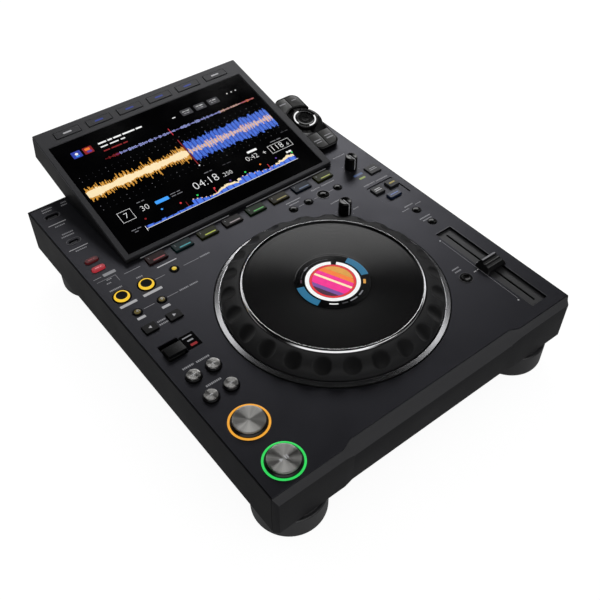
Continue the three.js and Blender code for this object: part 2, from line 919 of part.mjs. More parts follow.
// The deck plate with its holes, trough, socket shells, lever ears and low rims
function topPlate() {
  const front = frontStations().slice(1, -1).map(({ x, seamY }) => [x, seamY + seam]);
  front[0][0] = -plateHalfWidth;
  front[front.length - 1][0] = plateHalfWidth;
  const shape = outline([...front, [plateHalfWidth, chassisBackY], [-plateHalfWidth, chassisBackY]]);
  const leverHole = rectangle(
    leverLeftX - leverHoleSide,
    leverRightX + leverHoleSide,
    leverY - leverHoleReach,
    leverY + leverHoleReach,
  );
  const cableSlot = centred(cableSlotX, cableSlotY, cableSlotWidth, cableSlotDepth);
  const trough = centred(faderX, faderY, faderTroughWidth, faderTroughLength);
  const sockets = [
    centred(socketX, socketY, socketWidth, socketHeight, socketHeight / 2),
    centred(socketX, smallSocketY, smallSocketWidth, smallSocketHeight, smallSocketHeight / 2),
  ];
  const jogHole = roundHole(0, jogY, jogHoleRadius, 60);
  const holes = [jogHole, ...deckHoles, leverHole, cableSlot, trough, ...sockets];
  const plate = drilled(shape, -plateThickness, 0, holes);

  const wide = 2 * faderTroughWall;
  const troughBox = extrudeZ(
    centred(faderX, faderY, faderTroughWidth + wide, faderTroughLength + wide),
    troughFloor,
    -plateThickness / 2,
  );
  const troughHollow = extrudeZ(trough, -faderTroughDepth, 1);
  const slot = extrudeZ(centred(faderX, faderY, faderSlotWidth, faderSlotLength), troughFloor - 1, 0);

  const shells = [[socketWidth, socketHeight, socketY], [smallSocketWidth, smallSocketHeight, smallSocketY]];
  const shellSolids = shells.map(([width, height, y]) => {
    const grow = 2 * socketWall;
    const outer = centred(socketX, y, width + grow, height + grow);
    const inner = centred(socketX, y, width, height, height / 2);
    return cut(
      extrudeZ(outer, -(socketDepth + socketWall), -plateThickness / 2),
      extrudeZ(inner, -socketDepth, 1, 3),
    );
  });
  const rimShape = centred(
    socketX,
    socketY,
    socketWidth + 2 * socketRimWidth,
    socketHeight + 2 * socketRimWidth,
    socketHeight / 2 + socketRimWidth,
  );
  rimShape.holes = [sockets[0]];
  const socketRim = extrudeZ(rimShape, -1, socketRimHeight, 3);

  const transportRims = [cueY, playY].map((y) => {
    const rim = roundHole(transportX, y, transportRadius + keyClearance + transportRimWidth, 28);
    rim.holes = [roundHole(transportX, y, transportRadius + keyClearance, 28)];
    return extrudeZ(rim, -1, transportRimHeight);
  });

  const ears = [
    leverEar(leverLeftX - leverHoleSide - earThickness),
    leverEar(leverRightX + leverHoleSide),
  ];
  const troughPart = cut(troughBox, troughHollow, slot);
  const syncFrame = box(
    syncFrameLeftX,
    syncFrameRightX,
    syncFrameFrontY,
    syncFrameBackY,
    -syncFrameDepth,
    1,
  );
  const sunkPlate = cut(plate, syncFrame);
  return join(sunkPlate, troughPart, ...shellSolids, socketRim, ...transportRims, ...ears);
}

piece('top_plate', topPlate(), 'deckMetal');

// Inside the case
function supplyBox() {
  const low = floorTop + seam;
  const back = supplyFrontY + supplyLength;
  return box(supplyLeftX, supplyLeftX + supplyWidth, supplyFrontY, back, low, low + supplyHeight);
}

const board = box(
  -boardHalfWidth,
  boardHalfWidth,
  boardFrontY,
  boardBackY,
  boardTop - boardThickness,
  boardTop,
);
piece('main_board', board, 'board');
piece('power_supply', supplyBox(), 'silver');

// Jog wheel: a fixed dish and post, and a wheel that turns round the post
piece('jog_base_ring', turned([
  [hubRadius, dishBottom],
  [jogDishRadius, dishBottom],
  [jogDishRadius, ledgeZ - jogFlangeThickness],
  [jogDishRadius + jogDishFlange, ledgeZ - jogFlangeThickness],
  [jogDishRadius + jogDishFlange, ledgeZ],
  [jogDishRadius, ledgeZ],
  [jogDishRadius, jogRimHeight],
  [jogRimInner, jogRimHeight],
  [jogRimInner, -jogDishDepth],
  [hubRadius, -jogDishDepth],
  [hubRadius, dishBottom],
], 0, jogY, 60), 'rimSilver');

const postHeadTop = centreDisplayBottom - seam;
piece('jog_post', turned([
  [0, dishBottom - seam - postFootThickness],
  [postFootRadius, dishBottom - seam - postFootThickness],
  [postFootRadius, dishBottom - seam],
  [hubRadius - seam, dishBottom - seam],
  [hubRadius - seam, -jogDishDepth],
  [postRadius, -jogDishDepth],
  [postRadius, postHeadTop - postHeadThickness],
  [postHeadRadius, postHeadTop - postHeadThickness],
  [postHeadRadius, postHeadTop],
  [0, postHeadTop],
], 0, jogY, 24), 'silver');

piece('jog_display', turned([
  [0, centreDisplayBottom],
  [centreDisplayRadius, centreDisplayBottom],
  [centreDisplayRadius, centreDisplayBottom + centreDisplayThickness],
  [0, centreDisplayBottom + centreDisplayThickness],
], 0, jogY, 48), 'glass');

const hubBottom = seam - jogDishDepth;
const hubBore = postRadius + 2 * seam;
piece('jog_platter', turned([
  [hubBore, hubBottom],
  [hubRadius, hubBottom],
  [hubRadius, hubWebTop - hubWebThickness],
  [platterInner + hubWebThickness, hubWebTop - hubWebThickness],
  [platterInner + hubWebThickness, jogPlatterBottom],
  [jogTrimInner - seam, jogPlatterBottom],
  [jogTrimInner - seam, jogPlatterTop],
  [platterInner, jogPlatterTop],
  [platterInner, hubWebTop],
  [hubBore, hubWebTop],
  [hubBore, hubBottom],
], 0, jogY, 48), 'platter');

const trimBottom = jogPlatterBottom;
piece('jog_trim_ring', turned([
  [jogTrimInner, trimBottom],
  [jogTrimInner + jogTrimWidth, trimBottom],
  [jogTrimInner + jogTrimWidth, jogPlatterTop + jogTrimHeight - jogTrimEdge],
  [jogTrimInner + jogTrimWidth - jogTrimEdge, jogPlatterTop + jogTrimHeight],
  [jogTrimInner, jogPlatterTop + jogTrimHeight],
  [jogTrimInner, trimBottom],
], 0, jogY, 48), 'silver');

// The grip's section is a quarter curve that falls from its top to its foot
function gripRing() {
  const low = jogRimHeight + seam;
  const rise = jogGripTop - low;
  const run = jogGripRadius - jogGripInner;
  const curve = [];
  for (let i = 0; i < jogGripSteps; i += 1) {
    const angle = (i / jogGripSteps) * (Math.PI / 2);
    const out = Math.sin(angle) ** jogGripSwell;
    curve.push([jogGripInner + run * out, low + rise * Math.cos(angle) ** jogGripFall]);
  }
  curve.push([jogGripRadius, low]);
  const ring = turned([
    ...curve,
    [jogGripFoot, low],
    [jogGripInner + jogGripWall, jogShelfTop - jogShelfThickness],
    [jogGripShelfInner, jogShelfTop - jogShelfThickness],
    [jogGripShelfInner, jogShelfTop],
    [jogGripInner, jogShelfTop],
    curve[0],
  ], 0, jogY, 48);
  const dimples = [];
  for (let i = 0; i < jogDimpleCount; i += 1) {
    const angle = (2 * Math.PI * (i + 0.5)) / jogDimpleCount;
    const ball = new THREE.SphereGeometry(jogDimpleRadius, 7, 7);
    ball.rotateX(Math.PI / 2).rotateY(jogDimpleLean);
    ball.translate(jogDimpleSpacingRadius, 0, jogDimpleHeight);
    ball.rotateZ(angle).translate(0, jogY, 0);
    dimples.push(ball);
  }
  return cut(ring, ...dimples);
}

piece('jog_grip_ring', gripRing(), 'matteBlack');

// Display housing: a hollow wedge whose back end reaches out behind the case
function housing() {
  const rimW = -(bezelThickness + seam);
  const point = (v, w) => [
    displayFrontY + v * tiltCos - w * tiltSin,
    displayFrontZ + v * tiltSin + w * tiltCos,
  ];
  const topFront = point(0, rimW);
  topFront[0] = displayFrontY;
  const backTop = point(displayLength, rimW);
  const outer = outline([
    [displayFrontY, seam],
    [underStartY, seam],
    [displayLowBackY, displayLowBackZ],
    backTop,
    topFront,
  ]);
  const wallV = displayWall;
  const innerBackTop = point(displayLength - wallV, bezelThickness);
  const innerBackLow = point(displayLength - wallV, displayWall - displayThickness);
  const innerFrontTop = point(wallV, bezelThickness);
  const inner = outline([
    [displayFrontY + displayWall, seam + displayWall],
    [underStartY, seam + displayWall],
    innerBackLow,
    innerBackTop,
    innerFrontTop,
  ]);
  return cut(
    extrudeX(outer, displayLeftX, displayRightX),
    extrudeX(inner, displayLeftX + displayWall, displayRightX - displayWall),
  );
}

piece('display_housing', housing(), 'darkPlastic');

const displayKeyPlaces = [];
for (let i = 0; i < displayKeyCount; i += 1) displayKeyPlaces.push(displayKeyFirstX + i * displayKeyPitch);
const displayKeyBackV = displayKeyFrontV + displayKeyDepth;

function bezel() {
  const shape = rectangle(displayLeftX, displayRightX, 0, displayLength);
  const glassBackV = glassFrontV + glassDepth;
  const holes = displayKeyPlaces.map((left) => rectangle(
    left - keyClearance,
    left + displayKeyWidth + keyClearance,
    displayKeyFrontV - keyClearance,
    displayKeyBackV + keyClearance,
  ));
  const pocketFloor = -(glassSunk + glassThickness + seam);
  const pocket = box(glassLeftX, glassLeftX + glassWidth, glassFrontV, glassBackV, pocketFloor, 1);
  const window = box(
    glassLeftX + glassLedge,
    glassLeftX + glassWidth - glassLedge,
    glassFrontV + glassLedge,
    glassBackV - glassLedge,
    -bezelThickness - 1,
    1,
  );
  return cut(drilled(shape, -bezelThickness, 0, holes), pocket, window);
}

piece('display_bezel', bezel(), 'bezel', tilted);
piece('touch_glass', box(
  glassLeftX + seam,
  glassLeftX + glassWidth - seam,
  glassFrontV + seam,
  glassFrontV + glassDepth - seam,
  -(glassSunk + glassThickness),
  -glassSunk,
), 'glass', tilted);

function displayKeys() {
  const matTop = -(bezelThickness + seam);
  const matBottom = matTop - keyMatThickness;
  const lastX = displayKeyPlaces[displayKeyCount - 1] + displayKeyWidth;
  const mat = box(
    displayKeyFirstX - keyFlange,
    lastX + keyFlange,
    displayKeyFrontV - keyFlange,
    displayKeyBackV + keyFlange,
    matBottom,
    matTop,
  );
  const heads = displayKeyPlaces.map((left) => box(
    left,
    left + displayKeyWidth,
    displayKeyFrontV,
    displayKeyBackV,
    matBottom,
    displayKeyStand,
  ));
  return join(mat, ...heads);
}

piece('display_key_mat', displayKeys(), 'bezel', tilted);

// Selector island: a hollow rounded block that stands on the deck
function belowDeck() {
  const reach = caseWidth;
  const block = box(-reach, reach, -reach, 2 * reach, -reach, seam);
  return block.applyMatrix4(tilted.matrix.clone().invert());
}

function islandOutline(inset) {
  return rectangle(
    islandLeftX + inset,
    islandRightX - inset,
    islandFrontV + inset,
    islandBackV - inset,
    islandCorner - inset,
  );
}

const wellUnderW = wellFloorW - islandTop;
const wellFlooring = dialWellRadius + islandWall - seam;

function island() {
  const outer = extrudeZ(islandOutline(0), islandBaseW, islandW);
  const hollow = extrudeZ(islandOutline(islandWall), islandBaseW - 1, islandCeiling);
  const floorDisc = disc(dialX, dialV, wellFlooring, wellUnderW, islandW - 1, 32);
  const flooring = common(floorDisc, outer);
  const well = disc(dialX, dialV, dialWellRadius, wellFloorW, 1, 32);
  const bore = disc(dialX, dialV, stemRadius + keyClearance, islandBaseW, 1, 16);
  const keyHoles = islandKeySpans().map(({ low, high }) => cut(
    common(
      extrudeZ(islandOutline(islandWall), islandCeiling - 1, 1),
      box(islandLeftX, islandRightX, low - keyClearance, high + keyClearance, islandBaseW, 2),
    ),
    disc(dialX, dialV, wellFlooring, islandBaseW, 2, 32),
  ));
  return cut(join(cut(outer, hollow), flooring), well, bore, belowDeck(), ...keyHoles);
}

function islandKeySpans() {
  const frontLow = islandFrontV + islandWall;
  const backHigh = islandBackV - islandWall;
  return [
    { low: frontLow, high: frontLow + islandKeyReach },
    { low: backHigh - islandKeyReach, high: backHigh },
  ];
}

// Four keys, two at each end, on one mat that passes under the dial's floor
function islandKeys() {
  const matTop = islandCeiling - seam;
  const matBottom = matTop - keyMatThickness;
  const bridgeTop = wellUnderW - seam;
  const bridgeBottom = bridgeTop - keyMatThickness;
  const left = islandLeftX;
  const right = islandRightX;
  const [front, back] = islandKeySpans();
  const clear = wellFlooring + seam;
  const frontStop = dialV - clear;
  const backStop = dialV + clear;
  const riser = keyMatThickness;
  const parts = [
    box(left, right, front.low - keyFlange, frontStop, matBottom, matTop),
    box(left, right, backStop, back.high + keyFlange, matBottom, matTop),
    box(left, right, frontStop - riser, frontStop, bridgeBottom, matTop),
    box(left, right, backStop, backStop + riser, bridgeBottom, matTop),
    box(left, right, frontStop - riser, backStop + riser, bridgeBottom, bridgeTop),
  ];
  const round = disc(dialX, dialV, clear, bridgeTop, 2, 32);
  for (const { low, high } of [front, back]) {
    const headTop = islandW + islandKeyStand;
    parts.push(box(left, dialX - islandKeyGroove / 2, low, high, matBottom, headTop));
    parts.push(box(dialX + islandKeyGroove / 2, right, low, high, matBottom, headTop));
  }
  const bounds = extrudeZ(islandOutline(islandWall + keyClearance), bridgeBottom - 1, 1);
  const stemHole = disc(dialX, dialV, stemFlangeRadius + 1, islandBaseW, islandW, 16);
  return cut(common(join(...parts), bounds), round, stemHole);
}

piece('selector_pod', island(), 'deckMetal', tilted);
piece('pod_key_mat', islandKeys(), 'bezel', tilted);

// The stem presses through the dial's floor, and the dial turns on it
const stemFlangeTop = wellUnderW - seam;
const dialBottom = wellFloorW + dialGap;
const dialTop = dialBottom + dialHeight;
const stemTop = dialTop - dialRoof - seam;
piece('selector_stem', turned([
  [0, stemFlangeTop - stemFlangeThickness - stemTail],
  [stemRadius - 1, stemFlangeTop - stemFlangeThickness - stemTail],
  [stemRadius - 1, stemFlangeTop - stemFlangeThickness],
  [stemFlangeRadius, stemFlangeTop - stemFlangeThickness],
  [stemFlangeRadius, stemFlangeTop],
  [stemRadius, stemFlangeTop],
  [stemRadius, stemTop],
  [0, stemTop],
], dialX, dialV, 16), 'silver', tilted);

piece('selector_knob', turned([
  [stemRadius + seam, dialBottom],
  [dialRadius, dialBottom],
  [dialRadius, dialTop - dialEdge],
  [dialRadius - dialEdge, dialTop],
  [dialRingRadius, dialTop],
  [dialRingRadius - dialRingSlope, dialTop - dialTopRecess],
  [dialCapRadius, dialTop - dialTopRecess],
  [dialCapRadius - dialCapSlope, dialTop],
  [0, dialTop],
  [0, dialTop - dialRoof],
  [stemRadius + seam, dialTop - dialRoof],
  [stemRadius + seam, dialBottom],
], dialX, dialV, 24), 'matteBlack', tilted);

export default player;
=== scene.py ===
# Looks of a tabletop media player deck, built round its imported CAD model.
# Lengths are millimetres in the deck's own frame (X right, Y to the back, zero height on the deck),
# and place matrices bring them to metres in the CAD frame.
import math

import bmesh
import bpy
from mathutils import Matrix, Vector
from mathutils.geometry import tessellate_polygon


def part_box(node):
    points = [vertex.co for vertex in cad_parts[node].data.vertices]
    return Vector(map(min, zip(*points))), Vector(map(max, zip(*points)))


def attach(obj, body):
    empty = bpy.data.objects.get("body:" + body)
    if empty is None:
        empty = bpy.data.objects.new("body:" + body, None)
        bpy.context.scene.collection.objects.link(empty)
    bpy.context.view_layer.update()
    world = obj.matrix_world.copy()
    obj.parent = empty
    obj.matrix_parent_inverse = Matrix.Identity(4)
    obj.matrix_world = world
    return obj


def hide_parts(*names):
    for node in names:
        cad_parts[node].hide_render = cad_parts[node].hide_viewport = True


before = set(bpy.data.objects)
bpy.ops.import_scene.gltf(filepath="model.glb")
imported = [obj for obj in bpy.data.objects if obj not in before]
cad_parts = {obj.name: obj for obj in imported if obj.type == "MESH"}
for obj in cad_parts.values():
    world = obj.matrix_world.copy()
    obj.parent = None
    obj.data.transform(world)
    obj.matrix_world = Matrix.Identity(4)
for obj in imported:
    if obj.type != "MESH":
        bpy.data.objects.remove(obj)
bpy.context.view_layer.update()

TAU = 2 * math.pi
QUARTER = math.pi / 2
MM = 0.001
PRINT = 0.05
LIT = 0.06
SEAM = 0.3
BEVEL_STEPS = 3

# Places taken from the frame
chassis_low, chassis_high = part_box("base_chassis")
DECK_MIDDLE_Y = (chassis_low.y + chassis_high.y) / 2
DECK_TOP_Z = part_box("front_cover")[1].z
DECK = Matrix.Translation((0, DECK_MIDDLE_Y, DECK_TOP_Z)) @ Matrix.Scale(MM, 4)

# Display slab: its outline, and its glass as left, right, front and back
DISPLAY = (-125.2, 119.7, 0, 180)
DISPLAY_TILT = math.radians(12.52)
BEZEL_THICKNESS = 3
GLASS = (-119.2, 111.5, 4.3, 157.2)
GLASS_SUNK = 0.3
DISPLAY_FOOT = (0, 77.05, 5)
SLAB = DECK @ Matrix.Translation(DISPLAY_FOOT) @ Matrix.Rotation(DISPLAY_TILT, 4, "X")

# Deck plate and the keys in it
PLATE_HALF_X = 163.9
PLATE_HALF_Y = 198.6
PLATE_THICKNESS = 2.5
RECESS = (-88, 91)
RECESS_SETBACK = 4.1
RECESS_SLOPE = 9
KEY_FLANGE = 1.2
KEY_CLEARANCE = 0.35
KEY_BOTTOM = -4
COLLAR_TOP = -2.85
FLANGE_TOP = -PLATE_THICKNESS - SEAM

# Jog wheel
JOG_Y = -68.7
JOG_HOLE = 105.2
JOG = DECK @ Matrix.Translation((0, JOG_Y, 0))
GRIP_RADIUS = 99
GRIP_INNER = 82.2
GRIP_LOW = 1
GRIP_TOP = 15.8
GRIP_STEPS = 44
DIMPLES = 24
DIMPLE_SIDES = 36
DIMPLE_HALF_WIDTH = 8.3
DIMPLE_HALF_LENGTH = 8.7
DIMPLE_MIDDLE = 0.45
DIMPLE_DEPTH = 2.5
DIMPLE_SOFTNESS = 0.75
DIMPLE_SHADE = 0.1
PLATTER_LOW = 13.5
PLATTER_TOP = 16
PLATTER_BORE = 8.6
GROOVES = 22
GROOVED = (36.5, 78.4)
GROOVE_HALF_WIDTH = 0.18
GROOVE_DEPTH = 0.05
DIAL_SCREEN = 33.6
DIAL_SCREEN_TOP = 16.2

# Node trees and materials
MATERIALS = {}


def tint(code):
    """Colours are given as they look, and turned into light values here."""
    parts = [int(code[i:i + 2], 16) / 255 for i in (1, 3, 5)]
    return tuple(c / 12.92 if c <= 0.04045 else ((c + 0.055) / 1.055) ** 2.4 for c in parts) + (1.0,)


def shade(code, factor):
    return tuple(min(1.0, c * factor) for c in tint(code)[:3]) + (1.0,)


def assign(thing, **settings):
    for key, value in settings.items():
        setattr(thing, key, value)
    return thing


class Nodes:
    """Short calls for a node tree. A value that is a socket is linked, any other is set."""

    def __init__(self, tree):
        self.tree = tree

    def fill(self, node, values):
        for key, value in values.items():
            if isinstance(value, bpy.types.NodeSocket):
                self.tree.links.new(value, node.inputs[key])
            else:
                node.inputs[key].default_value = value
        return node

    def add(self, kind, values=None, **settings):
        return self.fill(assign(self.tree.nodes.new("ShaderNode" + kind), **settings), values or {})

    def math(self, operation, first, second):
        return self.add("Math", {0: first, 1: second}, operation=operation).outputs["Value"]

    def vector(self, operation, *values, output="Vector"):
        return self.add("VectorMath", dict(enumerate(values)), operation=operation).outputs[output]

    def spread(self, source, low, high, from_low=0.3, from_high=0.7, **settings):
        ends = {"From Min": from_low, "From Max": from_high, "To Min": low, "To Max": high}
        return self.add("MapRange", {"Value": source, **ends}, **settings).outputs["Result"]

    def mix(self, share, first, second):
        return self.add("MixShader", {"Fac": share, 1: first, 2: second}).outputs["Shader"]


class Material(Nodes):
    """A named material, kept in MATERIALS, with the patterns that the finishes share."""

    def __init__(self, name):
        self.material = MATERIALS[name] = bpy.data.materials.new(name)
        self.material.use_nodes = True
        super().__init__(self.material.node_tree)
        self.shader = self.tree.nodes["Principled BSDF"]
        self.place = self.add("TexCoord").outputs["Object"]

    def surface(self, values):
        self.fill(self.shader, values)

    def noise(self, scale, detail=2, roughness=0.5):
        values = {"Scale": scale, "Detail": detail, "Roughness": roughness, "Vector": self.place}
        return self.add("TexNoise", values).outputs["Fac"]

    def noise_along(self, source, scale):
        values = {"Scale": scale, "Detail": 2, "W": source}
        return self.add("TexNoise", values, noise_dimensions="1D").outputs["Fac"]

    def rings(self, scale):
        """Fine circles about the piece's own middle."""
        return self.noise_along(self.vector("LENGTH", self.place, output="Value"), scale)

    def blend(self, source, first, second):
        values = {"A": first, "B": second, "Factor": source}
        return self.add("Mix", values, data_type="RGBA").outputs["Result"]

    def tones(self, source, code, low, high):
        return self.blend(source, shade(code, low), shade(code, high))

    def bump(self, source, strength, distance):
        values = {"Strength": strength, "Distance": distance, "Height": source}
        return self.add("Bump", values).outputs["Normal"]

    def stretched(self, amount):
        """Gloss that stretches across circular tool marks."""
        tangent = self.add("Tangent", direction_type="RADIAL", axis="Z").outputs["Tangent"]
        return {"Anisotropic": amount, "Anisotropic Rotation": 0.25, "Tangent": tangent}


def moulded(name, code, rough, grain, depth, mottle, metallic=0.0, specular=0.5):
    """A satin surface: fine grain in its bump, slow changes in its colour and gloss."""
    nodes = Material(name)
    slow = nodes.noise(18, 4, 0.6)
    nodes.surface({
        "Base Color": nodes.tones(slow, code, 1 - mottle, 1 + mottle),
        "Roughness": nodes.spread(slow, rough - 0.05, rough + 0.05),
        "Normal": nodes.bump(nodes.noise(grain), depth, 0.00008),
        "Metallic": metallic,
        "Specular IOR Level": specular,
    })


def turned_metal(name, code, rough, pitch):
    """Metal with fine tool marks in circles about its own middle."""
    nodes = Material(name)
    marks = nodes.rings(pitch)
    nodes.surface({
        "Base Color": nodes.tones(marks, code, 0.86, 1.1),
        "Roughness": nodes.spread(marks, rough - 0.06, rough + 0.08),
        "Normal": nodes.bump(marks, 0.25, 0.00003),
        "Metallic": 1.0,
    })


def spun_metal(name, code, depth):
    """A spun disc: circular marks in its gloss and bump, and streaks in its colour that fan out from its
    middle: painted sheen, beside the real stretched gloss.
    """
    nodes = Material(name)
    parts = nodes.add("SeparateXYZ", {"Vector": nodes.place}).outputs
    # The fan of tones in the colour stands in for the sheen that fans across a spun disc: painted sheen.
    fan = nodes.noise_along(nodes.math("ARCTAN2", parts["Y"], parts["X"]), 1.6)
    marks = nodes.rings(5200)
    nodes.surface({
        "Base Color": nodes.tones(nodes.spread(fan, 0, 1, 0.38, 0.62), code, 0.84, 1.14),
        "Roughness": nodes.spread(marks, 0.3, 0.4),
        "Normal": nodes.bump(marks, depth, 0.00002),
        "Metallic": 1.0,
        **nodes.stretched(0.95),
    })


def platter_face(name):
    """Black turned face with very fine grooves."""
    nodes = Material(name)
    marks = nodes.rings(900)
    nodes.surface({
        "Base Color": nodes.blend(marks, tint("#050505"), tint("#0a0a0b")),
        "Roughness": nodes.spread(marks, 0.15, 0.17),
        "Specular IOR Level": 0.33,
        **nodes.stretched(0.72),
    })


def lit(name, code, strength=1.0, body=None, rough=0.3):
    """A lens or print that gives light of its own, a little uneven."""
    nodes = Material(name)
    nodes.surface({
        "Emission Color": nodes.tones(nodes.noise(260), code, 0.82, 1.05),
        "Emission Strength": strength,
        "Base Color": tint(body) if body else shade(code, 0.1),
        "Roughness": rough,
        "Specular IOR Level": 0.3,
    })
    return name


def ink(name, code):
    """Screen print, and painted highlights on the fader cap: an even colour with a faint speckle."""
    nodes = Material(name)
    nodes.surface({
        "Base Color": nodes.tones(nodes.noise(1400), code, 0.9, 1.05),
        "Roughness": 0.5,
        "Specular IOR Level": 0.3,
    })


# Name, colour, roughness, grain, depth, mottle, metallic, specular
for row in (
        ("deck_satin", "#323237", 0.38, 3800, 0.3, 0.05, 0.8, 0.3),
        ("case_satin", "#1d1d1f", 0.55, 3000, 0.4, 0.08, 0, 0.18),
        # A lighter copy of case_satin for the front cover's slopes: painted light.
        ("slope_satin_painted_lighter", "#3b3b3d", 0.5, 3000, 0.4, 0.06, 0, 0.25),
        ("foot_rubber", "#29292b", 0.4, 1600, 0.3, 0.12, 0, 0.6),
        ("bezel_satin", "#3a3a3d", 0.45, 2600, 0.3, 0.06, 0.5),
        ("housing_plastic", "#101012", 0.5, 1800, 0.4, 0.12, 0, 0.2),
        ("black_satin", "#0d0d0e", 0.3, 2600, 0.3, 0.12, 0, 0.4),
        ("key_satin", "#0b0b0c", 0.4, 2600, 0.25, 0.1, 0, 0.18),
        ("grey_key_satin", "#29292c", 0.42, 2600, 0.25, 0.08, 0, 0.25),
        ("pod_gloss", "#080809", 0.2, 2600, 0.15, 0.08, 0, 0.3),
        # Grey of the pod's keys, also used as painted reflected sheen on the dial's well floor.
        ("pod_key_satin", "#3a3a39", 0.36, 2600, 0.3, 0.08, 0, 0.4),
        # A darker copy of grip_matte for the dimples' hollows: painted shade.
        ("dimple_matte", "#111112", 0.46, 1900, 0.6, 0.12, 0, 0.22),
        ("grip_matte", "#222223", 0.56, 1900, 0.9, 0.14, 0, 0.2),
        ("trough_satin", "#464647", 0.45, 2200, 0.3, 0.06, 0.7),
        # Pale grey for the socket rims, and for painted highlights along the fader trough's edges and round
        # the hollows of some keys.
        ("bright_edge", "#5c5c5f", 0.3, 1800, 0.2, 0.06, 0.6),
        ("button_gloss", "#060606", 0.16, 900, 0.05, 0.1, 0, 0.3),
        # Matte black: the colour of some black parts, and painted shade where it fills gaps, bays, hollows
        # and the sheet under the fader slot.
        ("dark_gap", "#050506", 0.7, 1500, 0.3, 0.1, 0, 0.15),
        ("rim_metal", "#e6e6e9", 0.24, 1500, 0.05, 0.06, 1),
        ("trim_metal", "#dcdcde", 0.17, 900, 0.0, 0.03, 1),
        ("screen_glass", "#030304", 0.12, 600, 0.0, 0.1, 0, 0.35),
        ("board_laminate", "#0f4a2c", 0.45, 900, 0.5, 0.2),
        ("master_key_tint", "#18243f", 0.35, 2600, 0.2, 0.08, 0, 0.4),
):
    moulded(*row)
turned_metal("plain_steel", "#9a9a9c", 0.3, 1800)
turned_metal("contact_brass", "#c9a860", 0.25, 1200)
spun_metal("spun_disc", "#b2b1ae", 0.4)
spun_metal("small_spun_disc", "#a09f9d", 0.05)
platter_face("platter_black")
ink("white_print", "#c9c9cc")
ink("soft_white_print", "#a2a2a6")
for name, code in {
        "white": "#f4f4f4", "soft": "#a8a8ac", "grey": "#77777c", "dim": "#333337", "amber": "#f2a83a",
        "green": "#35d860", "yellow": "#fccb33", "red": "#e23a44", "cream": "#ffe6b8", "gold": "#d99a3c",
        "blue": "#4a78e6", "deep_blue": "#2b3fa8", "peach": "#ffc9a0", "sky": "#3fa0ff",
        "dark_red": "#8a1a1e", "violet": "#5a3a9a", "orange": "#f27a2a", "lavender": "#a9b6f2",
        "magenta": "#f01e8c",
        "maroon": "#3c1030", "purple": "#75479a", "teal_blue": "#04668c", "ring_red": "#d9222c",
}.items():
    lit("lit_" + name, code)


# Outlines
def polar(x, y, radius, angle):
    return x + radius * math.cos(angle), y + radius * math.sin(angle)


def rectangle(left, right, low, high, radius=0.0, steps=5):
    if radius <= 0:
        return [(left, low), (right, low), (right, high), (left, high)]
    radius = min(radius, (right - left) / 2, (high - low) / 2)
    corners = [
        (right - radius, low + radius, -0.25),
        (right - radius, high - radius, 0.0),
        (left + radius, high - radius, 0.25),
        (left + radius, low + radius, 0.5),
    ]
    return [polar(x, y, radius, TAU * (start + 0.25 * i / steps))
            for x, y, start in corners for i in range(steps + 1)]


def centred(x, y, width, depth, radius=0.0, steps=5):
    return rectangle(x - width / 2, x + width / 2, y - depth / 2, y + depth / 2, radius, steps)


def strip(left, right, y, thick, radius=0.0):
    return rectangle(left, right, y - thick / 2, y + thick / 2, radius)


def circle(x, y, radius, sides=48):
    return [polar(x, y, radius, TAU * i / sides) for i in range(sides)]


def sector(x, y, inner, outer, start, end, steps=24):
    """A piece of a ring between two angles in degrees."""
    angles = [math.radians(start + (end - start) * i / steps) for i in range(steps + 1)]
    return [polar(x, y, outer, a) for a in angles] + [polar(x, y, inner, a) for a in reversed(angles)]


def triangle(x, y, reach, side):
    """Points to the right, or to the left where side is -1."""
    back = x - side * reach * 0.7
    return [(back, y - reach), (x + side * reach, y), (back, y + reach)][::side]


def inset(loop, distance):
    """Moves an anticlockwise loop's points inward by a distance."""
    count = len(loop)
    moved = []
    for i in range(count):
        before, here, after = (Vector(loop[(i + k) % count]) for k in (-1, 0, 1))
        first = (here - before).normalized()
        second = (after - here).normalized()
        a = Vector((-first.y, first.x))
        b = Vector((-second.y, second.x))
        moved.append(tuple(here + distance * (a + b) / max(0.3, 1 + a.dot(b))))
    return moved


# Profiles for the lathe, as radius and height
def softened(profile, radius, closed=False, steps=4):
    """Rounds the corners of a profile."""
    points = [Vector(p) for p in profile]
    count = len(points)
    result = []
    for i, here in enumerate(points):
        if not closed and i in (0, count - 1):
            result.append(tuple(here))
            continue
        back, ahead = points[i - 1] - here, points[(i + 1) % count] - here
        reach = min(radius, back.length * 0.45, ahead.length * 0.45)
        start, end = here + back.normalized() * reach, here + ahead.normalized() * reach
        for s in range(steps + 1):
            t = s / steps
            result.append(tuple((1 - t) ** 2 * start + 2 * t * (1 - t) * here + t * t * end))
    return result


def collar(radius, neck=None):
    """The part of a round key that stays under the plate, up to its neck."""
    wide = radius + KEY_FLANGE
    return [(0, KEY_BOTTOM), (wide, KEY_BOTTOM), (wide, COLLAR_TOP), (neck or radius, COLLAR_TOP)]


def rimmed(edge, rim, low, fall, top, softness):
    """The side of a round face: from the middle below, out to its edge and up to its rim."""
    return [(0, low), (edge, low)] + softened([(edge, low), (edge, top - fall), (rim, top)], softness)[1:]


def dished(radius, top, drop, steps, first=1):
    """A shallow hollow, from its rim to its middle."""
    return [(radius * (1 - i / steps), top - drop * math.sin(QUARTER * i / steps))
            for i in range(first, steps + 1)]


def domed(radius, low, rise, top, steps=10, first=0):
    """A quarter of an ellipse, from its rim to its middle."""
    angles = [QUARTER * i / steps for i in range(first, steps)]
    return [(radius * math.cos(a), low + rise * math.sin(a)) for a in angles] + [(0, top)]


def key_levels(loop, low, top, edge, steps=4):
    """Levels of a key whose upper edge is rounded."""
    levels = [(loop, low), (loop, top - edge)]
    for i in range(1, steps + 1):
        angle = QUARTER * i / steps
        levels.append((inset(loop, edge * (1 - math.cos(angle))), top - edge + edge * math.sin(angle)))
    return levels


def quads(first, last, count):
    """Faces between rows of points that follow each other, from the first row to the last."""
    return [[a + i, a + (i + 1) % count, a + count + (i + 1) % count, a + count + i]
            for a in range(first, last, count) for i in range(count)]


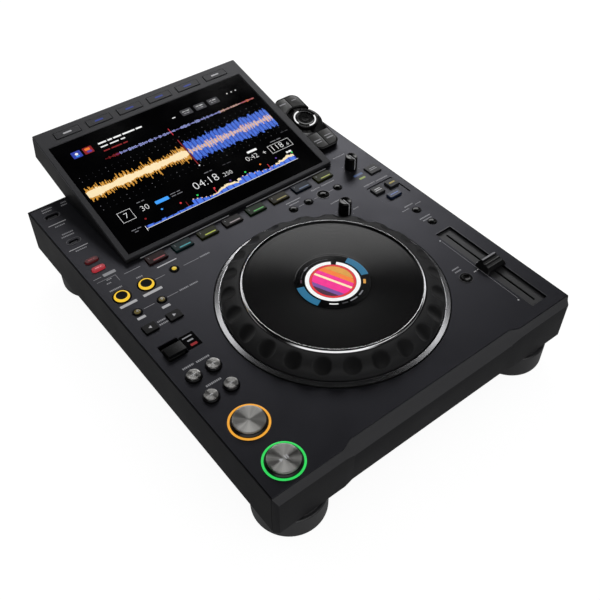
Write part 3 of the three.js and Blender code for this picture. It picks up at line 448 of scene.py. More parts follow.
class Build:
    """Gathers closed shapes in millimetres and makes one mesh object of them."""

    def __init__(self):
        self.points = []
        self.faces = []
        self.slots = []

    def add(self, points, faces, slot=0):
        base = len(self.points)
        self.points.extend(points)
        self.faces.extend([base + i for i in face] for face in faces)
        self.slots.extend([slot] * len(faces))
        return self

    def stack(self, levels, slot=0):
        """Levels are (loop, height) pairs with equal counts, from the lowest to the highest."""
        count = len(levels[0][0])
        points = [(x, y, z) for loop, z in levels for x, y in loop]
        last = len(points) - count
        ends = [[*range(count)][::-1], [*range(last, last + count)]]
        return self.add(points, quads(0, last, count) + ends, slot)

    def prism(self, loop, low, high, slot=0):
        return self.stack([(loop, low), (loop, high)], slot)

    def stamp(self, loop, level=0, slot=0, thick=PRINT):
        return self.prism(loop, level, level + thick, slot)

    def block(self, left, right, front, back, low, high, slot=0):
        return self.prism(rectangle(left, right, front, back), low, high, slot)

    def band(self, x, y, inner, outer, low, high, slot=0, sides=64):
        """A full flat ring."""
        profile = [(inner, low), (outer, low), (outer, high), (inner, high)]
        return self.lathe(profile, sides, x, y, slot)

    def lathe(self, profile, sides, x=0.0, y=0.0, slot=0):
        """Turns a profile round. One that starts away from the axis is closed to a ring."""
        points = []
        rows = []
        for radius, z in profile:
            if radius <= 1e-6:
                rows.append([len(points)] * sides)
                points.append((x, y, z))
                continue
            rows.append([len(points) + i for i in range(sides)])
            points.extend((*spot, z) for spot in circle(x, y, radius, sides))
        faces = []
        for low, high in zip(rows, rows[1:] + ([rows[0]] if profile[0][0] > 0 else [])):
            for i in range(sides):
                j = (i + 1) % sides
                corners = [low[i], low[j], high[j], high[i]]
                face = [c for k, c in enumerate(corners) if c != corners[k - 1]]
                if len(face) > 2:
                    faces.append(face)
        return self.add(points, faces, slot)

    def plate(self, outer, holes, low, high, bevel):
        """A flat plate with bevelled upper edges and with holes that go right through."""
        turns = [math.sin(QUARTER * s / BEVEL_STEPS) for s in range(BEVEL_STEPS + 1)]
        rounds = [(bevel - bevel * (1 - t), high - bevel + bevel * t) for t in turns]
        points, faces, tops, bottoms = [], [], [], []
        for loop, side in [(outer, 1)] + [(hole, -1) for hole in holes]:
            count = len(loop)
            levels = [(loop, low)] + [(inset(loop, side * grow), z) for grow, z in rounds]
            base = len(points)
            points += [(x, y, z) for row, z in levels for x, y in row]
            last = len(points) - count
            faces += [face[::side] for face in quads(base, last, count)]
            bottoms.append(range(base, base + count))
            tops.append(range(last, last + count))
        for rings, flip in ((tops, False), (bottoms, True)):
            flat = [i for ring in rings for i in ring]
            for tri in tessellate_polygon([[Vector(points[i]) for i in ring] for ring in rings]):
                face = [flat[i] for i in tri]
                a, b, c = (Vector(points[i]) for i in face)
                up = (b - a).cross(c - a).z > 0
                faces.append(face if up != flip else face[::-1])
        return self.add(points, faces)

    def make(self, name, materials, place=DECK, centre=None, sharp=35):
        """Materials are names. The origin sits at centre, so that round finishes turn about it."""
        mesh = bpy.data.meshes.new(name)
        origin = place @ Vector(centre or (0, 0, 0))
        mesh.from_pydata([place @ Vector(p) - origin for p in self.points], [], self.faces)
        for material in materials.split():
            mesh.materials.append(MATERIALS[material])
        for polygon, slot in zip(mesh.polygons, self.slots):
            polygon.material_index = slot
        obj = linked(name, mesh)
        obj.location = origin
        face_outward(mesh)
        mesh.shade_smooth()
        mesh.set_sharp_from_angle(angle=math.radians(sharp))
        obj.modifiers.new("even_normals", "WEIGHTED_NORMAL").keep_sharp = True
        return obj

    def dress(self, name, materials, body, slot=None, *nodes, **settings):
        return dress(self.make(name, materials, **settings), body, slot, *nodes)


def linked(name, data):
    obj = bpy.data.objects.new(name, data)
    bpy.context.scene.collection.objects.link(obj)
    return obj


def face_outward(mesh):
    work = bmesh.new()
    work.from_mesh(mesh)
    bmesh.ops.recalc_face_normals(work, faces=work.faces)
    work.to_mesh(mesh)
    work.free()


def dress(obj, body, slot=None, *nodes):
    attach(obj, body)
    if nodes:
        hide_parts(*nodes)
    return obj


def refined(node, name, material, body, slot, bevel, segments=3):
    """A finer copy of a CAD piece: flat faces joined, edges rounded."""
    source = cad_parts[node]
    obj = linked(name, source.data.copy())
    obj.matrix_world = source.matrix_world.copy()
    work = bmesh.new()
    work.from_mesh(obj.data)
    bmesh.ops.remove_doubles(work, verts=work.verts, dist=1e-6)
    bmesh.ops.dissolve_limit(work, angle_limit=math.radians(1), verts=work.verts, edges=work.edges)
    work.to_mesh(obj.data)
    work.free()
    obj.data.materials.clear()
    obj.data.materials.append(MATERIALS[material])
    for polygon in obj.data.polygons:
        polygon.material_index = 0
    obj.data.shade_smooth()
    assign(obj.modifiers.new("edges", "BEVEL"), width=bevel * MM, segments=segments, limit_method="ANGLE",
           angle_limit=math.radians(30), use_clamp_overlap=True, harden_normals=True)
    return dress(obj, body, slot, node)


def head(node):
    """The part of a key that shows: left, right, front, back and top in deck millimetres."""
    low, high = (DECK.inverted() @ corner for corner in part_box(node))
    return low.x + KEY_FLANGE, high.x - KEY_FLANGE, low.y + KEY_FLANGE, high.y - KEY_FLANGE, high.z


def middle(node):
    """A round key's middle, radius and top."""
    left, right, front, back, top = head(node)
    return (left + right) / 2, (front + back) / 2, (right - left) / 2, top


def box_middle(node):
    low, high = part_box(node)
    spot = DECK.inverted() @ ((low + high) / 2)
    return spot.x, spot.y


def digits(text, x, y, size, material, name, place, body, height, slot=None, thin=0.012):
    """Plain numbers as thin raised print."""
    curve = bpy.data.curves.new(name, "FONT")
    assign(curve, body=text, size=size, align_x="CENTER", align_y="CENTER", extrude=PRINT / 2,
           offset=-thin * size, resolution_u=3)
    source = linked(name + "_line", curve)
    bpy.context.view_layer.update()
    mesh = bpy.data.meshes.new_from_object(source)
    bpy.data.objects.remove(source)
    mesh.transform(place @ Matrix.Translation((x, y, height + PRINT / 2)))
    mesh.materials.clear()
    mesh.materials.append(MATERIALS[material])
    return dress(linked(name, mesh), body, slot)


def ripple(i, seed):
    """A repeatable uneven value between 0 and 1."""
    value = math.sin(i * 12.9898 + seed * 78.233) * 43758.5453
    return value - math.floor(value)


# Camera at the photograph's place
FOCAL_PIXELS = 796.4
IMAGE_PIXELS = 600
CAMERA_DECK = Vector((-328.6, -437.5, 507.2))
CAMERA_TURN = math.radians(-38.38)
CAMERA_DOWN = math.radians(46.26)
CAMERA_ROLL = math.radians(0.30)
SENSOR = 36
CLIP_START = 0.01


def make_camera():
    camera = linked("camera", bpy.data.cameras.new("camera"))
    lens = FOCAL_PIXELS / IMAGE_PIXELS * SENSOR
    assign(camera.data, sensor_width=SENSOR, lens=lens, clip_start=CLIP_START)
    turn, down = CAMERA_TURN, CAMERA_DOWN
    forward = Vector((-math.sin(turn) * math.cos(down), math.cos(turn) * math.cos(down), -math.sin(down)))
    right = Vector((math.cos(turn), math.sin(turn), 0))
    up = right.cross(forward)
    tipped_right = math.cos(CAMERA_ROLL) * right + math.sin(CAMERA_ROLL) * up
    tipped_up = math.cos(CAMERA_ROLL) * up - math.sin(CAMERA_ROLL) * right
    axes = Matrix((tipped_right, tipped_up, -forward)).transposed().to_4x4()
    camera.matrix_world = Matrix.Translation(DECK @ CAMERA_DECK) @ axes
    bpy.context.scene.camera = camera


# Floor, background and light
FLOOR_REACH = 6000
FLOOR_THICKNESS = 3
FLOOR_GLOW = 1.13
FLOOR_GLOW_SHARE = 0.82
FLOOR_IN_GLOSS = 0.2
FILL = 0.6
LIGHTS_AIM = Vector((0, 0, 0.07))
AREA_LIGHTS = (
    ("back_softbox", (1.0, 1.35, 1.1), (1.4, 0.8), 12),
    ("left_softbox", (-0.75, 1.7, 0.85), (0.9, 0.5), 1),
    ("front_softbox", (0.4, -1.7, 1.0), (1.2, 0.5), 3.4),
)


def make_stage():
    """A floor that looks white and still takes a shadow."""
    floor = Build().block(-FLOOR_REACH, FLOOR_REACH, -FLOOR_REACH, FLOOR_REACH, -FLOOR_THICKNESS, 0)
    nodes = Material("white_floor")
    nodes.surface({"Base Color": tint("#f6f6f6"), "Roughness": 0.9, "Specular IOR Level": 0.1})
    paths = nodes.add("LightPath").outputs
    seen = nodes.math("MAXIMUM", paths["Is Camera Ray"], paths["Is Transmission Ray"])
    seen = nodes.math("MAXIMUM", seen, paths["Is Glossy Ray"])
    strength = nodes.spread(paths["Is Glossy Ray"], FLOOR_GLOW, FLOOR_IN_GLOSS, 0, 1)
    glow = nodes.add("Emission", {"Strength": strength}).outputs["Emission"]
    share = nodes.math("MULTIPLY", seen, FLOOR_GLOW_SHARE)
    mixed = nodes.mix(share, nodes.shader.outputs["BSDF"], glow)
    nodes.fill(nodes.tree.nodes["Material Output"], {"Surface": mixed})
    floor.make("floor", "white_floor", Matrix.Scale(MM, 4))


def heading_at(turn):
    """A level direction, that many degrees to the right of the camera's."""
    angle = -CAMERA_TURN + math.radians(turn)
    return math.sin(angle), math.cos(angle), 0.0


def make_world():
    """White where the camera looks. Gloss sees a room of bright walls and two softboxes."""
    world = bpy.data.worlds.new("studio")
    bpy.context.scene.world = world
    world.use_nodes = True
    nodes = Nodes(world.node_tree)
    nodes.tree.nodes.clear()
    paths = nodes.add("LightPath").outputs
    direction = nodes.add("TexCoord").outputs["Generated"]
    height = nodes.add("SeparateXYZ", {"Vector": direction}).outputs["Z"]
    heading = nodes.vector("NORMALIZE", nodes.vector("MULTIPLY", direction, (1, 1, 0)))

    def smooth(source, low, high, from_low, from_high):
        return nodes.spread(source, low, high, from_low, from_high, interpolation_type="SMOOTHSTEP")

    def share_towards(source, towards, near, far, strength):
        facing = nodes.vector("DOT_PRODUCT", source, towards, output="Value")
        return smooth(facing, 0.0, strength, math.cos(math.radians(far)), math.cos(math.radians(near)))

    def wall(turn, half, rise, fall, strength):
        """A bright wall: its heading from the camera's, its half width and the heights where it ends."""
        across = share_towards(heading, heading_at(turn), half, half * 1.9, strength)
        up = nodes.math("MULTIPLY", smooth(height, 0.0, 1.0, *rise), smooth(height, 1.0, 0.0, *fall))
        return nodes.math("MULTIPLY", across, up)

    def softbox(turn, up, radius, strength):
        x, y, _ = heading_at(turn)
        flat = math.cos(math.radians(up))
        towards = (x * flat, y * flat, math.sin(math.radians(up)))
        return share_towards(direction, towards, radius * 0.6, radius, strength)

    def background(**values):
        return nodes.add("Background", {key.title(): v for key, v in values.items()}).outputs["Background"]

    from_floor = (-0.2, -0.1)
    walls = wall(0, 14, (0.25, 0.45), (0.5, 0.7), 1.25)
    for piece in (
            wall(-50, 10, from_floor, (0.2, 0.32), 1.8), wall(50, 10, from_floor, (0.2, 0.32), 1.8),
            softbox(-44, 48, 11, 1.3), softbox(42, 48, 11, 1.7),
            wall(180, 26, from_floor, (0.5, 0.62), 1.6)):
        walls = nodes.math("ADD", walls, piece)
    gloss = nodes.mix(paths["Is Glossy Ray"], background(strength=FILL), background(strength=walls))
    seen = nodes.math("MAXIMUM", paths["Is Camera Ray"], paths["Is Transmission Ray"])
    whole = nodes.mix(seen, gloss, background(color=(1, 1, 1, 1)))
    nodes.add("OutputWorld", {"Surface": whole})


def make_lights():
    for name, place, size, power in AREA_LIGHTS:
        light = bpy.data.lights.new(name, "AREA")
        obj = linked(name, assign(light, shape="RECTANGLE", size=size[0], size_y=size[1], energy=power))
        obj.location = place
        obj.rotation_euler = (LIGHTS_AIM - Vector(place)).to_track_quat("-Z", "Y").to_euler()


# Case and feet
FOOT_RADIUS = 31.8
FOOT_HEIGHT = 26.9
CASE_HEIGHT = 46.8
# Heights of a face's normal between which the front cover's sloping faces are painted lighter, as if they
# caught more light.
PAINTED_LIGHT_SLOPES = (0.2, 0.95)


def make_case():
    refined("base_chassis", "case_shell", "case_satin", "case", "case_metal", 0.5)
    cover = refined("front_cover", "front_face", "case_satin", "case", "case_metal", 0.6)
    # Sloping faces of the front cover take the lighter copy of the case's satin: painted light, where the
    # slopes face up into the lamps.
    cover.data.materials.append(MATERIALS["slope_satin_painted_lighter"])
    for polygon in cover.data.polygons:
        if PAINTED_LIGHT_SLOPES[0] < polygon.normal.z < PAINTED_LIGHT_SLOPES[1]:
            polygon.material_index = 1
    refined("rear_panel", "back_panel", "case_satin", "case", "case_metal", 0.25, 2)
    refined("power_button", "power_key", "key_satin", "power_button", "black_plastic", 0.5)


def make_feet():
    top = -CASE_HEIGHT - SEAM
    bottom = top - FOOT_HEIGHT
    profile = softened([(FOOT_RADIUS - inward, z) for inward, z in (
        (FOOT_RADIUS, bottom + 0.8), (10, bottom + 0.8), (10, bottom), (2, bottom), (0.7, bottom + 0.7),
        (0, bottom + 2.4), (0, top - 3.4), (0.9, top - 2.4), (3.3, top - 2.2), (3.3, top),
        (FOOT_RADIUS, top),
    )], 0.6)
    for node in ("foot_front_left", "foot_front_right", "foot_back_left", "foot_back_right"):
        x, y = box_middle(node)
        foot = Build().lathe(profile, 96, x, y)
        foot.dress(node + "_moulded", "foot_rubber", "case", "foot_rubber", node, centre=(x, y, 0))


# Deck plate with its trough, sockets, lever recess and rims
FADER_X = 138.7
FADER_Y = -128.3
TROUGH_WIDTH = 19
TROUGH_LENGTH = 119.3
TROUGH_DEPTH = 2.4
SLOT_WIDTH = 2.0
SLOT_LENGTH = 109.2
TROUGH = centred(FADER_X, FADER_Y, TROUGH_WIDTH, TROUGH_LENGTH, 1.0)
LEVER = (-155, -136.6, -47.1, -26.9)
LEVER_BAY = (-13.2, -12.4)
SOCKETS = ((-148.5, 181.4, 13.4, 5.4, 1.6), (-148.5, 135.5, 9.4, 3.6, 2.6))
SOCKET_DEPTH = 9
CONTACTS = 4
SYNC_FRAME = (122.5, 156, -5.8, 24)
SYNC_DEPTH = 0.8
BOX_KEYS = [f"hot_cue_key_{i}" for i in range(1, 9)] + [
    "beat_jump_back_key", "beat_jump_forward_key", "jog_mode_key"]
SYNC_KEYS = ["key_sync_key", "beat_sync_key", "master_key"]
PILL_KEYS = ["slip_key", "quantize_key"]
SMALL_DISCS = ["track_back_button", "track_forward_button", "search_back_button", "search_forward_button"]
LOOP_BUTTONS = ["loop_in_button", "loop_out_button"]
LENS_BUTTONS = ["beat_loop_four_button", "beat_loop_eight_button", "reloop_button"]
TEMPO_BUTTONS = ["master_tempo_button", "tempo_range_button", "tempo_reset_button"]
ROUND_KEYS = ["cue_button", "play_button"] + SMALL_DISCS + LOOP_BUTTONS + LENS_BUTTONS + TEMPO_BUTTONS
MEMORY_XS = [44.5 + i * 18.9 for i in range(4)]
MEMORY_Y = 44.4
MEMORY_RADIUS = 4.3
KNOBS = ["vinyl_speed_knob", "jog_adjust_knob"]
KNOB_RADIUS = 6.75
KNOB_HEIGHT = 15.5
KNOB_STEM = 3.0
KNOB_GROOVE = 0.9
KNOB_GROOVE_DEPTH = (0.9, 1.3)
POINTER_HALF = 0.35
ON_DECK = ("case", "deck_metal")
OF_PLATE = ("case", "deck_metal", "top_plate")


def key_hole(node, radius):
    left, right, front, back, _ = head(node)
    gap = KEY_CLEARANCE
    return rectangle(left - gap, right + gap, front - gap, back + gap, radius)


def socket_hole(x, y, width, height, grow=0.0):
    return centred(x, y, width + 2 * grow, height + 2 * grow, height / 2 + grow, 8)


def make_plate():
    left, right = RECESS
    near, far = -PLATE_HALF_Y, -PLATE_HALF_Y + RECESS_SETBACK
    outline = [
        (-PLATE_HALF_X, near), (left - RECESS_SLOPE, near), (left, far), (right, far),
        (right + RECESS_SLOPE, near), (PLATE_HALF_X, near), (PLATE_HALF_X, PLATE_HALF_Y),
        (-PLATE_HALF_X, PLATE_HALF_Y),
    ]
    holes = [circle(0, JOG_Y, JOG_HOLE, 180)]
    holes += [key_hole(node, 1.2) for node in BOX_KEYS] + [key_hole(node, 3.3) for node in PILL_KEYS]
    for node in ROUND_KEYS:
        x, y, radius, _ = middle(node)
        holes.append(circle(x, y, radius + KEY_CLEARANCE, 40))
    holes += [circle(x, MEMORY_Y, MEMORY_RADIUS + KEY_CLEARANCE, 32) for x in MEMORY_XS]
    holes += [circle(*box_middle(node), KNOB_STEM + KEY_CLEARANCE, 24) for node in KNOBS]
    holes += [rectangle(*LEVER, 1.0), rectangle(*SYNC_FRAME, 1.2), TROUGH]
    holes += [socket_hole(*socket[:4]) for socket in SOCKETS]
    Build().plate(outline, holes, -PLATE_THICKNESS, 0, 0.3).dress("deck_plate", "deck_satin", *OF_PLATE)
    sunk = Build().plate(rectangle(*SYNC_FRAME, 1.2), [key_hole(node, 1.2) for node in SYNC_KEYS],
                         -PLATE_THICKNESS, -SYNC_DEPTH, 0.15)
    sunk.dress("sync_floor", "deck_satin", *OF_PLATE)


def tray(name, outline, depth, floor_holes, material, wall=1.2):
    """An open box that hangs under a hole in the plate."""
    build = Build()
    build.plate(inset(outline, -wall), [outline], -depth - wall, -PLATE_THICKNESS / 2 - 0.02, 0.05)
    build.plate(inset(outline, -0.02), floor_holes, -depth - wall, -depth, 0.12)
    build.dress(name, material, *OF_PLATE)


def make_recesses():
    slot = centred(FADER_X, FADER_Y, SLOT_WIDTH, SLOT_LENGTH, 1.2)
    tray("fader_trough", TROUGH, TROUGH_DEPTH, [slot], "trough_satin")
    right, back = FADER_X + TROUGH_WIDTH / 2, FADER_Y + TROUGH_LENGTH / 2
    # Thin pale strips along the trough's right and back edges: painted highlights where those edges catch
    # the light.
    lip = Build().block(right + 0.05, right + 0.5, FADER_Y - TROUGH_LENGTH / 2, back, 0, 0.12)
    lip.block(FADER_X - TROUGH_WIDTH / 2, right, back + 0.05, back + 0.5, 0, 0.12)
    lip.dress("trough_edge_highlight", "bright_edge", *OF_PLATE)
    # A dark sheet under the fader slot: painted shade, where the case's inside would lie in shadow.
    under = Build().prism(centred(FADER_X, FADER_Y, SLOT_WIDTH + 2, SLOT_LENGTH + 2), -14.6, -14)
    under.dress("slot_shade", "dark_gap", "case", "black_plastic", "top_plate")
    for name, socket in zip(("memory_socket_shell", "small_socket_shell"), SOCKETS):
        tray(name, socket_hole(*socket[:4]), SOCKET_DEPTH, [], "dark_gap", 1.3)
    contacts = Build()
    rims = Build()
    for x, y, width, height, rim in SOCKETS:
        contacts.prism(centred(x, y, width * 0.72, 1.7, 0.3), -8.9, -1.2, 0)
        for i in range(CONTACTS):
            left = x - width * 0.27 + i * width * 0.18 - 0.4
            contacts.block(left, left + 0.8, y - 1.0, y - 0.84, -8.9, -1.6, 1)
        outer = socket_hole(x, y, width, height, rim)
        rims.plate(outer, [socket_hole(x, y, width, height, rim - 0.65)], 0.0, 0.4, 0.15)
    contacts.dress("socket_tongues", "bezel_satin contact_brass", "case", "black_plastic")
    rims.dress("socket_rims", "bright_edge", *ON_DECK)
    ears = Build()
    left, right = LEVER[:2]
    for low, high in ((left - 1.6, left - 0.02), (right + 0.02, right + 1.6)):
        ears.block(low, high, -41, -33, -12, -PLATE_THICKNESS - 0.02)
    ears.dress("lever_ears", "black_satin", *OF_PLATE)


# Transport buttons
def make_transport():
    for node, glow in (("cue_button", "lit_amber"), ("play_button", "lit_green")):
        x, y, radius, top = middle(node)
        ring = softened([(radius + out, z) for out, z in (
            (0.15, 0.0), (2.0, 0.0), (2.0, 0.4), (1.1, 0.75), (0.15, 0.5))], 0.2, closed=True)
        Build().lathe(ring, 96, x, y).dress(node + "_lit_ring", glow, "case", "black_plastic")
        skirt = softened(collar(radius, radius - 0.1) + [
            (radius - 0.1, 1.2), (radius - 1.3, 2.6), (radius - 1.75, 2.75), (0, 2.75)], 0.3)
        rim = radius - 2.4
        dish = rimmed(radius - 1.9, rim, 2.7, 0.25, top, 0.2) + dished(rim, top, 0.3, 12)
        button = Build().lathe(skirt, 96, x, y).lathe(dish, 96, x, y, 1)
        button.dress(node + "_disc", "black_satin spun_disc", node, "spun_metal", node, centre=(x, y, 0))
    x, y, _, top = middle("play_button")
    level = top - 0.28
    marks = Build().stamp([(x - 3.7, y - 1.8), (x - 0.6, y), (x - 3.7, y + 1.8)], level)
    for step in (0.8, 2.6):
        marks.stamp(rectangle(x + step, x + step + 1.0, y - 1.7, y + 1.7), level)
    marks.dress("play_marks", "white_print", "play_button", "spun_metal")
    for node in SMALL_DISCS:
        x, y, radius, top = middle(node)
        well = softened(collar(radius) + [
            (radius, top - 1.4), (radius - 0.75, top - 0.75), (0, top - 0.8)], 0.3)
        rim = radius - 1.2
        face = rimmed(radius - 0.9, rim, top - 0.85, 0.15, top, 0.15) + dished(rim, top, 0.06, 8)
        disc = Build().lathe(well, 64, x, y).lathe(face, 64, x, y, 1)
        disc.dress(node + "_disc", "black_satin small_spun_disc", node, "spun_metal", node, centre=(x, y, 0))
        side = 1 if "forward" in node else -1
        level, reach = top - 0.05, 0.85
        mark = Build()
        for step in (-0.75, 0.75) if "search" in node else (-0.35,):
            mark.stamp(triangle(x + step * side, y, reach, side), level)
        if "track" in node:
            bar = x + side * 0.95
            mark.stamp(rectangle(bar - 0.15, bar + 0.15, y - reach, y + reach), level)
        mark.dress(node + "_mark", "white_print", node, "spun_metal")


# Keys with a lit bar: the colour in the slot's name, the key's own, and its bar's
HOT_CUES = [
    ("red", "#241012", "#8a343a"), ("teal", "#0b2325", "#2b8f96"), ("lime", "#202309", "#a4b030"),
    ("pink", "#1c191a", "#8c8184"), ("green", "#0b200b", "#3f9a41"), ("amber", "#201c0b", "#7e742c"),
    ("blue", "#121a26", "#3a5170"), ("yellow", "#212409", "#939c34"),
]


def box_key(node, material, radius=1.0, edge=0.4, slot="black_plastic", steps=5):
    """A key with flat sides and the flange that holds it under the plate."""
    left, right, front, back, top = head(node)
    grow = KEY_FLANGE
    loop = rectangle(left, right, front, back, radius, steps)
    build = Build().stack(key_levels(loop, KEY_BOTTOM, top, edge))
    build.block(left - grow, right + grow, front - grow, back + grow, KEY_BOTTOM, FLANGE_TOP)
    build.dress(node + "_cap", material, node, slot, node)


def make_hot_cues():
    for i, (colour, body, bar) in enumerate(HOT_CUES, 1):
        node, slot = f"hot_cue_key_{i}", "key_" + colour
        cap, light = f"hot_cue_{i}_tint", f"hot_cue_{i}_light"
        moulded(cap, body, 0.42, 2600, 0.2, 0.1, specular=0.12)
        lit(light, bar, 0.9)
        box_key(node, cap, slot=slot)
        left, right, front, _, top = head(node)
        loop = rectangle(left + 5.6, right - 2.2, front + 2.0, front + 3.4, 0.5)
        Build().stamp(loop, top, thick=LIT).dress(f"hot_cue_light_{i}", light, node, slot)
        name = f"hot_cue_number_{i}"
        digits(str(i), left + 3.0, front + 7.2, 3.2, "soft_white_print", name, DECK, node, top)


def make_left_keys():
    for node, side in (("beat_jump_back_key", -1), ("beat_jump_forward_key", 1)):
        box_key(node, "key_satin", 0.9, 0.35)
        x, y, _, top = middle(node)
        Build().stamp(triangle(x, y, 1.7, side), top).dress(node + "_mark", "white_print", node)
    for node in LOOP_BUTTONS:
        x, y, radius, top = middle(node)
        base = softened(collar(radius) + [(radius, 0.1), (radius - 0.9, 0.3), (0, 0.3)], 0.15)
        ring = softened([
            (5.2, 0.25), (radius - 1.0, 0.25), (radius - 1.1, 0.7), (radius - 2.1, 2.0), (5.2, 2.05),
        ], 0.3, closed=True)
        cap = top - 0.7
        cover = softened([(0, 1.1), (5.6, 1.1), (5.6, cap - 0.2), (5.2, cap), (0, cap - 0.4)], 0.25)
        build = Build()
        for slot, profile in ((0, base), (1, ring), (0, cover)):
            build.lathe(profile, 64, x, y, slot)
        build.dress(node + "_cap", "dark_gap lit_yellow", node, "black_plastic", node)
    lit("dim_amber_lens", "#6a5e34", 0.7, "#2a2412", 0.14)
    lit("bright_amber_lens", "#d8b93a", 0.95, "#4a3d14", 0.14)
    for node, lens, share in zip(LENS_BUTTONS, ("dim", "dim", "bright"), (0.7, 0.7, 0.56)):
        x, y, radius, top = middle(node)
        base = softened(collar(radius) + [
            (radius, top - 1.0), (radius - 0.6, top - 0.4), (0, top - 0.4)], 0.2)
        wide = radius * share
        crown = [(0, top - 0.6), (wide, top - 0.6), (wide * 0.94, top - 0.3), (wide * 0.72, top - 0.08),
                 (wide * 0.4, top), (0, top)]
        build = Build().lathe(base, 48, x, y).lathe(crown, 48, x, y, 1)
        build.dress(node + "_cap", f"dark_gap {lens}_amber_lens", node, "black_plastic", node)
    for node, slot, code, strength, line in (
            ("slip_key", "key_dull_red", "#5c1a1e", 0.5, "#8a3a40"),
            ("quantize_key", "key_bright_red", "#b0323c", 0.85, "#e0828a")):
        box_key(node, lit(node + "_lens", code, strength, "#200608"), 2.9, 0.7, slot, 8)
        left, right, front, back, top = head(node)
        dashes = Build()
        middle_y = (front + back) / 2
        for start, end in ((left + 3.2, left + 7.4), (left + 8.2, right - 3.2)):
            dashes.stamp(rectangle(start, end, middle_y - 0.6, middle_y + 0.6, 0.3), top, thick=LIT)
        dashes.dress(node + "_line", lit(node + "_glow", line, 0.9), node)


DIRECTION_WINDOW = (-136, -122, -46, -29)
DIRECTION_TOP = 0.25
DIRECTION_LIGHTS = [
    (-131.6, -125.4, -43.6, -41.0, 0.4, 0), (-131.6, -126, -37.8, -36.2, 0.3, 1),
    (-134.0, -124.8, -33, -31.8, 0.3, 1),
]


def make_lever():
    bay = Build().plate(rectangle(*LEVER, 1.0), [], *LEVER_BAY, 0.1)
    bay.dress("lever_bay", "dark_gap", "case", "black_plastic", "top_plate")
    refined("direction_lever", "direction_paddle", "key_satin", "direction_lever", "black_plastic", 0.45)
    window = Build().plate(rectangle(*DIRECTION_WINDOW, 0.8), [], 0.0, DIRECTION_TOP, 0.1)
    window.dress("direction_window", "screen_glass", "case", "black_plastic")
    marks = Build()
    for *edges, slot in DIRECTION_LIGHTS:
        marks.stamp(rectangle(*edges), DIRECTION_TOP, slot)
    marks.dress("direction_lights", "lit_dark_red soft_white_print", "case")


# Keys, buttons and knobs on the right
def make_right_keys():
    mat = Build()
    for x in MEMORY_XS:
        profile = [(0, KEY_BOTTOM), (MEMORY_RADIUS, KEY_BOTTOM)] + domed(MEMORY_RADIUS, 0.2, 1.6, 1.8)
        mat.lathe(profile, 48, x, MEMORY_Y)
    reach = MEMORY_RADIUS + KEY_FLANGE
    left, right = MEMORY_XS[0] - reach, MEMORY_XS[3] + reach
    mat.block(left, right, MEMORY_Y - reach, MEMORY_Y + reach, KEY_BOTTOM, FLANGE_TOP)
    mat.dress("memory_buttons", "button_gloss", "memory_key_mat", "black_plastic", "memory_key_mat")
    # Round the reset key and the third memory key: a dark band, painted shade of a shallow hollow, and a
    # thin pale ring outside it, a painted highlight on the hollow's edge.
    rings = Build()
    reset_x, reset_y, radius, _ = middle("tempo_reset_button")
    for x, y, inner in ((MEMORY_XS[2], MEMORY_Y, 5.1), (reset_x, reset_y, radius + 0.6)):
        rings.band(x, y, inner, inner + 1.3, 0, 0.35)
        rings.band(x, y, inner + 1.3, inner + 1.6, 0, 0.4, 1)
    rings.dress("button_painted_hollows", "dark_gap bright_edge", *ON_DECK)
    for node in TEMPO_BUTTONS:
        x, y, radius, top = middle(node)
        face = domed(radius, 0.2, top - 0.2, top)
        if node == "tempo_reset_button":
            face = softened([
                (radius, -2.8), (radius, 0.7), (radius - 0.5, 0.8), (radius - 1.7, 0.1), (0, 0.0)], 0.4)[1:]
        build = Build().lathe(collar(radius) + face, 64, x, y)
        build.dress(node + "_cap", "button_gloss", node, "black_plastic", node)
    box_key("jog_mode_key", "grey_key_satin", 0.9)
    for node in SYNC_KEYS:
        box_key(node, "master_key_tint" if node == "master_key" else "grey_key_satin")
    for node, ink_name, half, thick in (
            ("jog_mode_key", "soft_white_print", 4.6, 1.0), ("key_sync_key", "white_print", 4.2, 1.1)):
        x, y, _, top = middle(node)
        build = Build()
        for level, wide in ((y - 1.2, half), (y + 1.2, half - 0.6)):
            build.stamp(strip(x - wide, x + wide, level, thick, 0.4), top)
        build.dress(node + "_mark", ink_name, node)
    for node, glow, body in (("beat_sync_key", "#97872c", "#4a4012"), ("master_key", "#5068a8", "#1c2b58")):
        left, right, front, back, top = head(node)
        loop = rectangle(left + 2.6, right - 2.6, front + 4.3, back - 4.3, 0.4)
        material = lit(node + "_glow", glow, 0.8, body)
        Build().stamp(loop, top, thick=LIT).dress(node + "_light", material, node)


def make_knobs():
    wide, high = KNOB_RADIUS, KNOB_HEIGHT
    profile = softened([
        (0, KEY_BOTTOM), (4.2, KEY_BOTTOM), (4.2, COLLAR_TOP), (KNOB_STEM, COLLAR_TOP), (KNOB_STEM, SEAM),
        (wide - 0.4, SEAM), (wide, SEAM + 1.2), (wide - 0.35, high - 1.0), (wide - 1.2, high),
        (wide - 1.6, high - 0.05),
    ], 0.35) + dished(wide - 1.7, high - 0.05, 0.5, 10, 0)
    for node in KNOBS:
        x, y = box_middle(node)
        build = Build().lathe(profile, 144, x, y)
        for i, (px, py, pz) in enumerate(build.points):
            dx, dy = px - x, py - y
            if pz > 1.2:
                sink = math.exp(-(dx / KNOB_GROOVE) ** 2)
                if dy < 0 and math.hypot(dx, dy) > wide - 1.1:
                    dy += KNOB_GROOVE_DEPTH[0] * sink
                if pz > high - KNOB_GROOVE_DEPTH[1]:
                    pz -= KNOB_GROOVE_DEPTH[1] * sink
            build.points[i] = (x + dx, y + dy, pz)
        build.dress(node + "_body", "button_gloss", node, "black_plastic", node, centre=(x, y, 0), sharp=60)
        left, right = x - POINTER_HALF, x + POINTER_HALF
        pointer = Build().block(left, right, y - 5.6, y + 3.2, high - 1.9, high - 1.15)
        pointer.block(left, right, y - wide + 0.35, y - wide + 1.2, 1.4, high - 1.6)
        pointer.dress(node + "_pointer", "white_print", node)
